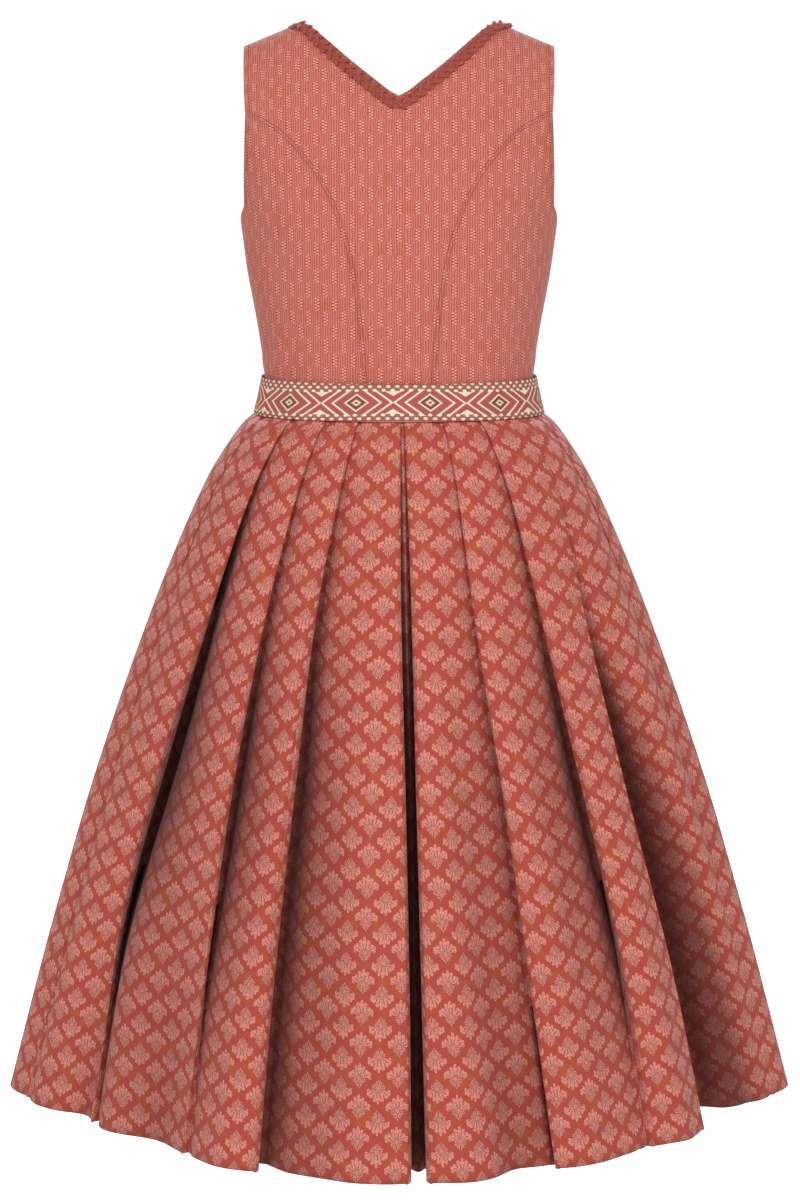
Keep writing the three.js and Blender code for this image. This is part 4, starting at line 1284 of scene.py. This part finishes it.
backEdge = [(-x, d) for x, d in reversed(backNeck)] + backNeck[1:]
frontEdge = [(0.4, frontNeck[0][1])] + frontNeck[1:]
pieces["braidBack"] = neckBraid("braidBack", -1, backEdge)
pieces["braidFrontRight"] = neckBraid("braidFrontRight", 1, frontEdge)
pieces["braidFrontLeft"] = neckBraid("braidFrontLeft", 1, [(-x, d) for x, d in reversed(frontEdge)])


class Nodes:
    # short names for a Geometry Nodes tree
    def __init__(self, name, inputs):
        self.tree = bpy.data.node_groups.new(name, "GeometryNodeTree")
        self.tree.interface.new_socket("Geometry", in_out="INPUT", socket_type="NodeSocketGeometry")
        self.sockets = {}
        for label, kind in inputs:
            socket = self.tree.interface.new_socket(label, in_out="INPUT", socket_type=kind)
            self.sockets[label] = socket.identifier
        self.tree.interface.new_socket("Geometry", in_out="OUTPUT", socket_type="NodeSocketGeometry")
        self.given = self.tree.nodes.new("NodeGroupInput").outputs
        self.result = self.tree.nodes.new("NodeGroupOutput").inputs[0]

    def add(self, kind, inputs, **settings):
        made = self.tree.nodes.new(kind)
        for name, value in settings.items():
            setattr(made, name, value)
        for name, value in inputs.items():
            if isinstance(value, bpy.types.NodeSocket):
                self.tree.links.new(value, made.inputs[name])
            else:
                made.inputs[name].default_value = value
        return made.outputs

    def apply(self, obj, values):
        modifier = obj.modifiers.new(self.tree.name, "NODES")
        modifier.node_group = self.tree
        for label, value in values.items():
            modifier[self.sockets[label]] = value
        return makePlain(obj)


def beadNodes():
    # one rounded bead after another along the object's lines, leaning to either side by turns
    floats = ("Pitch", "Length", "Width", "Height", "Lean", "Tilt", "Slide")
    sockets = [(label, "NodeSocketFloat") for label in floats]
    sockets += [("Sides", "NodeSocketInt"), ("Material", "NodeSocketMaterial")]
    nodes = Nodes("beads along a line", sockets)
    given = nodes.given
    curve = nodes.add("GeometryNodeMeshToCurve", {"Mesh": given["Geometry"]})["Curve"]
    pitch = {"Curve": curve, "Length": given["Pitch"]}
    curve = nodes.add("GeometryNodeResampleCurve", pitch, mode="LENGTH")["Curve"]
    tangent = nodes.add("GeometryNodeInputTangent", {})["Tangent"]
    facing = nodes.add(
        "GeometryNodeInputNamedAttribute", {"Name": "facing"}, data_type="FLOAT_VECTOR"
    )["Attribute"]
    turned = nodes.add("FunctionNodeAlignRotationToVector", {"Vector": tangent}, axis="X")["Rotation"]
    turned = nodes.add(
        "FunctionNodeAlignRotationToVector", {"Rotation": turned, "Vector": facing}, axis="Z", pivot_axis="X"
    )["Rotation"]
    index = nodes.add("GeometryNodeInputIndex", {})["Index"]
    odd = nodes.add("ShaderNodeMath", {0: index, 1: 2.0}, operation="MODULO")["Value"]
    sign = nodes.add("ShaderNodeMath", {0: odd, 1: 2.0, 2: -1.0}, operation="MULTIPLY_ADD")["Value"]
    lean = nodes.add("ShaderNodeMath", {0: sign, 1: given["Lean"]}, operation="MULTIPLY")["Value"]
    way = nodes.add("ShaderNodeCombineXYZ", {"Y": given["Tilt"], "Z": lean})["Vector"]
    by = nodes.add("FunctionNodeEulerToRotation", {"Euler": way})["Rotation"]
    turned = nodes.add(
        "FunctionNodeRotateRotation", {"Rotation": turned, "Rotate By": by}, rotation_space="LOCAL"
    )["Rotation"]
    bead = nodes.add("GeometryNodeMeshUVSphere", {"Segments": given["Sides"], "Rings": 6, "Radius": 0.5})["Mesh"]
    size = nodes.add("ShaderNodeCombineXYZ", {"X": given["Length"], "Y": given["Width"], "Z": given["Height"]})
    bead = nodes.add("GeometryNodeTransform", {"Geometry": bead, "Scale": size["Vector"]})["Geometry"]
    placed = nodes.add(
        "GeometryNodeInstanceOnPoints", {"Points": curve, "Instance": bead, "Rotation": turned}
    )["Instances"]
    slide = nodes.add("ShaderNodeCombineXYZ", {"X": given["Slide"]})["Vector"]
    moves = {"Instances": placed, "Translation": slide, "Local Space": True}
    placed = nodes.add("GeometryNodeTranslateInstances", moves)["Instances"]
    whole = nodes.add("GeometryNodeRealizeInstances", {"Geometry": placed})["Geometry"]
    whole = nodes.add("GeometryNodeSetShadeSmooth", {"Geometry": whole})["Geometry"]
    whole = nodes.add("GeometryNodeSetMaterial", {"Geometry": whole, "Material": given["Material"]})["Geometry"]
    nodes.tree.links.new(whole, nodes.result)
    return nodes


beads = beadNodes()


def beadedLines(name, lines, size, material):
    # lines is a list of (points in mm, directions they face)
    vertices, edges, facing = [], [], []
    for points, normals in lines:
        base = len(vertices)
        vertices.extend((points * mm).tolist())
        facing.extend(normals.tolist())
        edges.extend((base + k, base + k + 1) for k in range(len(points) - 1))
    mesh = bpy.data.meshes.new(name)
    mesh.from_pydata(vertices, edges, [])
    layer = mesh.attributes.new("facing", "FLOAT_VECTOR", "POINT")
    layer.data.foreach_set("vector", np.array(facing, float).ravel())
    values = {label: value * mm for label, value in size.items() if label not in ("Lean", "Tilt", "Sides")}
    values.update(Lean=math.radians(size["Lean"]), Tilt=math.radians(size["Tilt"]))
    values.update(Sides=size["Sides"], Material=material)
    return beads.apply(newObject(name, mesh), values)


def lineOnBodice(side, places, distance, out):
    moved = moveInto(side, places, distance) if distance else places
    points = bodicePoint(side, moved[:, 0], moved[:, 1], np.full(len(moved), out) + bodiceRelief(side, moved))
    return points, bodiceNormal(side, moved[:, 0], moved[:, 1])


plait = {
    "Pitch": 4.6,
    "Length": 13.6,
    "Width": 4.6,
    "Height": 3.6,
    "Lean": 42,
    "Tilt": -8,
    "Slide": 2.7,
    "Sides": 10,
}
plaitsOut = 1.3
for name, side, edge in (
    ("braidBack", -1, backEdge),
    ("braidFrontRight", 1, frontEdge),
    ("braidFrontLeft", 1, [(-x, d) for x, d in reversed(frontEdge)]),
):
    line = evenPoints(splineSamples(edge), braid["samples"])
    inner = slice(3, -3) if side < 0 else (slice(8, -3) if "Right" in name else slice(3, -8))
    places = placeAt(line[:, 0], line[:, 1])[inner]
    path = lineOnBodice(side, places, braid["inset"] + braid["half"], plaitsOut)
    pieces[name + "Plaits"] = beadedLines(name + "Plaits", [path], plait, braidCord)
print("braids made")

# ---- topstitching beside the princess seams and along the neck and armholes
stitch = {"Pitch": 2.8, "Length": 2.3, "Width": 0.7, "Height": 0.55, "Lean": 0, "Tilt": 0, "Slide": 0, "Sides": 6}
seamStitch = {"fromSeam": 2.7, "fromArmhole": 4.5, "fromNeck": 1.6, "count": 140}


def stitchLines(side, neck, seam, armholes):
    count = seamStitch["count"]
    rows = [(outline(seam, count)[8:-1], seamStitch["fromSeam"], bodice["ridgeOut"] + 0.1)]
    rows += [(outline(armhole, count)[2:-2], seamStitch["fromArmhole"], 0.1) for armhole in armholes]
    made = []
    for hand in (1, -1):
        for places, distance, out in rows:
            both = [moveInto(side, places * np.array([hand, 1]), way * distance) for way in (1, -1)]
            inner = min(both, key=lambda line: np.abs(line[:, 0]).mean())
            made.append(lineOnBodice(side, inner, 0, out))
    edges = [[(-x, d) for x, d in reversed(neck)] + neck[1:]] if side < 0 else [neck]
    if side > 0:
        edges.append([(-x, d) for x, d in reversed(neck)])
    for edge in edges:
        line = evenPoints(splineSamples(edge), 200)[3:-3]
        made.append(lineOnBodice(side, placeAt(line[:, 0], line[:, 1]), seamStitch["fromNeck"], 0.1))
    return made


pieces["stitchesBack"] = beadedLines(
    "stitchesBack",
    stitchLines(-1, backNeck, backSeam, [backArmholeUpper, backArmholeLower]),
    stitch,
    sewingThread,
)
pieces["stitchesFront"] = beadedLines(
    "stitchesFront",
    stitchLines(1, frontNeck, frontSeam, [frontArmholeUpper, frontArmholeLower]),
    stitch,
    sewingThread,
)
print("stitches made")

# ---- each piece takes its node's place
standsFor = {
    "backCentre": ("bodice_back_centre", "bodice_cloth"),
    "backSideRight": ("bodice_back_side_right", "bodice_cloth"),
    "backSideLeft": ("bodice_back_side_left", "bodice_cloth"),
    "frontSideRight": ("bodice_front_side_right", "bodice_cloth"),
    "frontSideLeft": ("bodice_front_side_left", "bodice_cloth"),
    "frontCentreRight": ("bodice_front_centre_right", "bodice_cloth"),
    "frontCentreLeft": ("bodice_front_centre_left", "bodice_cloth"),
    "waistband": ("waistband", "band_cloth"),
    "skirtBack": ("skirt_back", "skirt_cloth"),
    "skirtFrontRight": ("skirt_front_right", "skirt_cloth"),
    "skirtFrontLeft": ("skirt_front_left", "skirt_cloth"),
    "braidBack": ("neck_braid_back", "neck_braid"),
    "braidFrontRight": ("neck_braid_front_right", "neck_braid"),
    "braidFrontLeft": ("neck_braid_front_left", "neck_braid"),
}
for name, (node, slot) in standsFor.items():
    for part in (name, name + "Plaits"):
        if part in pieces:
            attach(pieces[part], "root")
            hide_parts(node)
for name in ("stitchesBack", "stitchesFront"):
    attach(pieces[name], "root")
for name, (width, length, area) in cuts.items():
    if name.startswith("skirt"):
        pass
    elif name.startswith("braid"):
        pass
    else:
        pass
    print(f"{name}: cut {width:.3f} by {length:.3f} m, {area:.4f} square metres")

# ---- light, floor and camera
studio = {
    "floor": -1.4,
    "floorHalf": 60,
    "ambient": 0.42,
    "backdrop": 1.0,
    "floorGlow": 0.7,
    "lamps": [
        {"at": (-1.3, -3.0, 1.2), "to": (0, 0, -0.5), "size": 0.9, "power": 39},
        {"at": (1.3, -3.0, 1.2), "to": (0, 0, -0.5), "size": 0.9, "power": 40},
        {"at": (-1.4, 3.0, 1.2), "to": (0, 0, -0.5), "size": 0.9, "power": 38},
        {"at": (1.4, 3.0, 1.2), "to": (0, 0, -0.5), "size": 0.9, "power": 36},
    ],
}
scene.view_settings.view_transform = "Standard"
floorMaterial, graph, shader = newMaterial("floor")
shader.inputs["Base Color"].default_value = (0.9, 0.9, 0.9, 1.0)
shader.inputs["Roughness"].default_value = 0.9
shader.inputs["Emission Color"].default_value = (1.0, 1.0, 1.0, 1.0)
seen = graph.node("ShaderNodeLightPath").outputs["Is Camera Ray"]
graph.put(graph.calc("MULTIPLY", seen, studio["floorGlow"]), shader.inputs["Emission Strength"])
floorMesh = bpy.data.meshes.new("floor")
reach, low = studio["floorHalf"], studio["floor"]
floorMesh.from_pydata(
    [(-reach, -reach, low), (reach, -reach, low), (reach, reach, low), (-reach, reach, low)], [], [(0, 1, 2, 3)]
)
floor = newObject("floor", floorMesh, floorMaterial)

world = bpy.data.worlds.new("studio")
scene.world = world
world.use_nodes = True
graph = Graph(world.node_tree)
glow = world.node_tree.nodes["Background"].inputs
glow["Color"].default_value = (1.0, 1.0, 1.0, 1.0)
seen = graph.node("ShaderNodeLightPath").outputs["Is Camera Ray"]
share = graph.calc("MULTIPLY_ADD", seen, studio["backdrop"] - studio["ambient"], studio["ambient"])
graph.put(share, glow["Strength"])
for number, lamp in enumerate(studio["lamps"]):
    data = bpy.data.lights.new(f"lamp {number}", "AREA")
    data.energy = lamp["power"]
    data.size = lamp["size"]
    light = bpy.data.objects.new(f"lamp {number}", data)
    scene.collection.objects.link(light)
    light.location = lamp["at"]
    way = np.array(lamp["to"]) - np.array(lamp["at"])
    flat = math.hypot(way[0], way[1])
    light.rotation_euler = (math.atan2(flat, -way[2]), 0, math.atan2(-way[0], way[1]))

cameraData = bpy.data.cameras.new("camera")
view = {"lens": 110.9, "sensor": 36, "at": (0.0009, -3.4, -0.0396), "turn": 81.78}
cameraData.lens = view["lens"]
cameraData.sensor_width = view["sensor"]
camera = bpy.data.objects.new("camera", cameraData)
scene.collection.objects.link(camera)
camera.location = view["at"]
camera.rotation_euler = (math.radians(view["turn"]), 0, 0)
scene.camera = camera
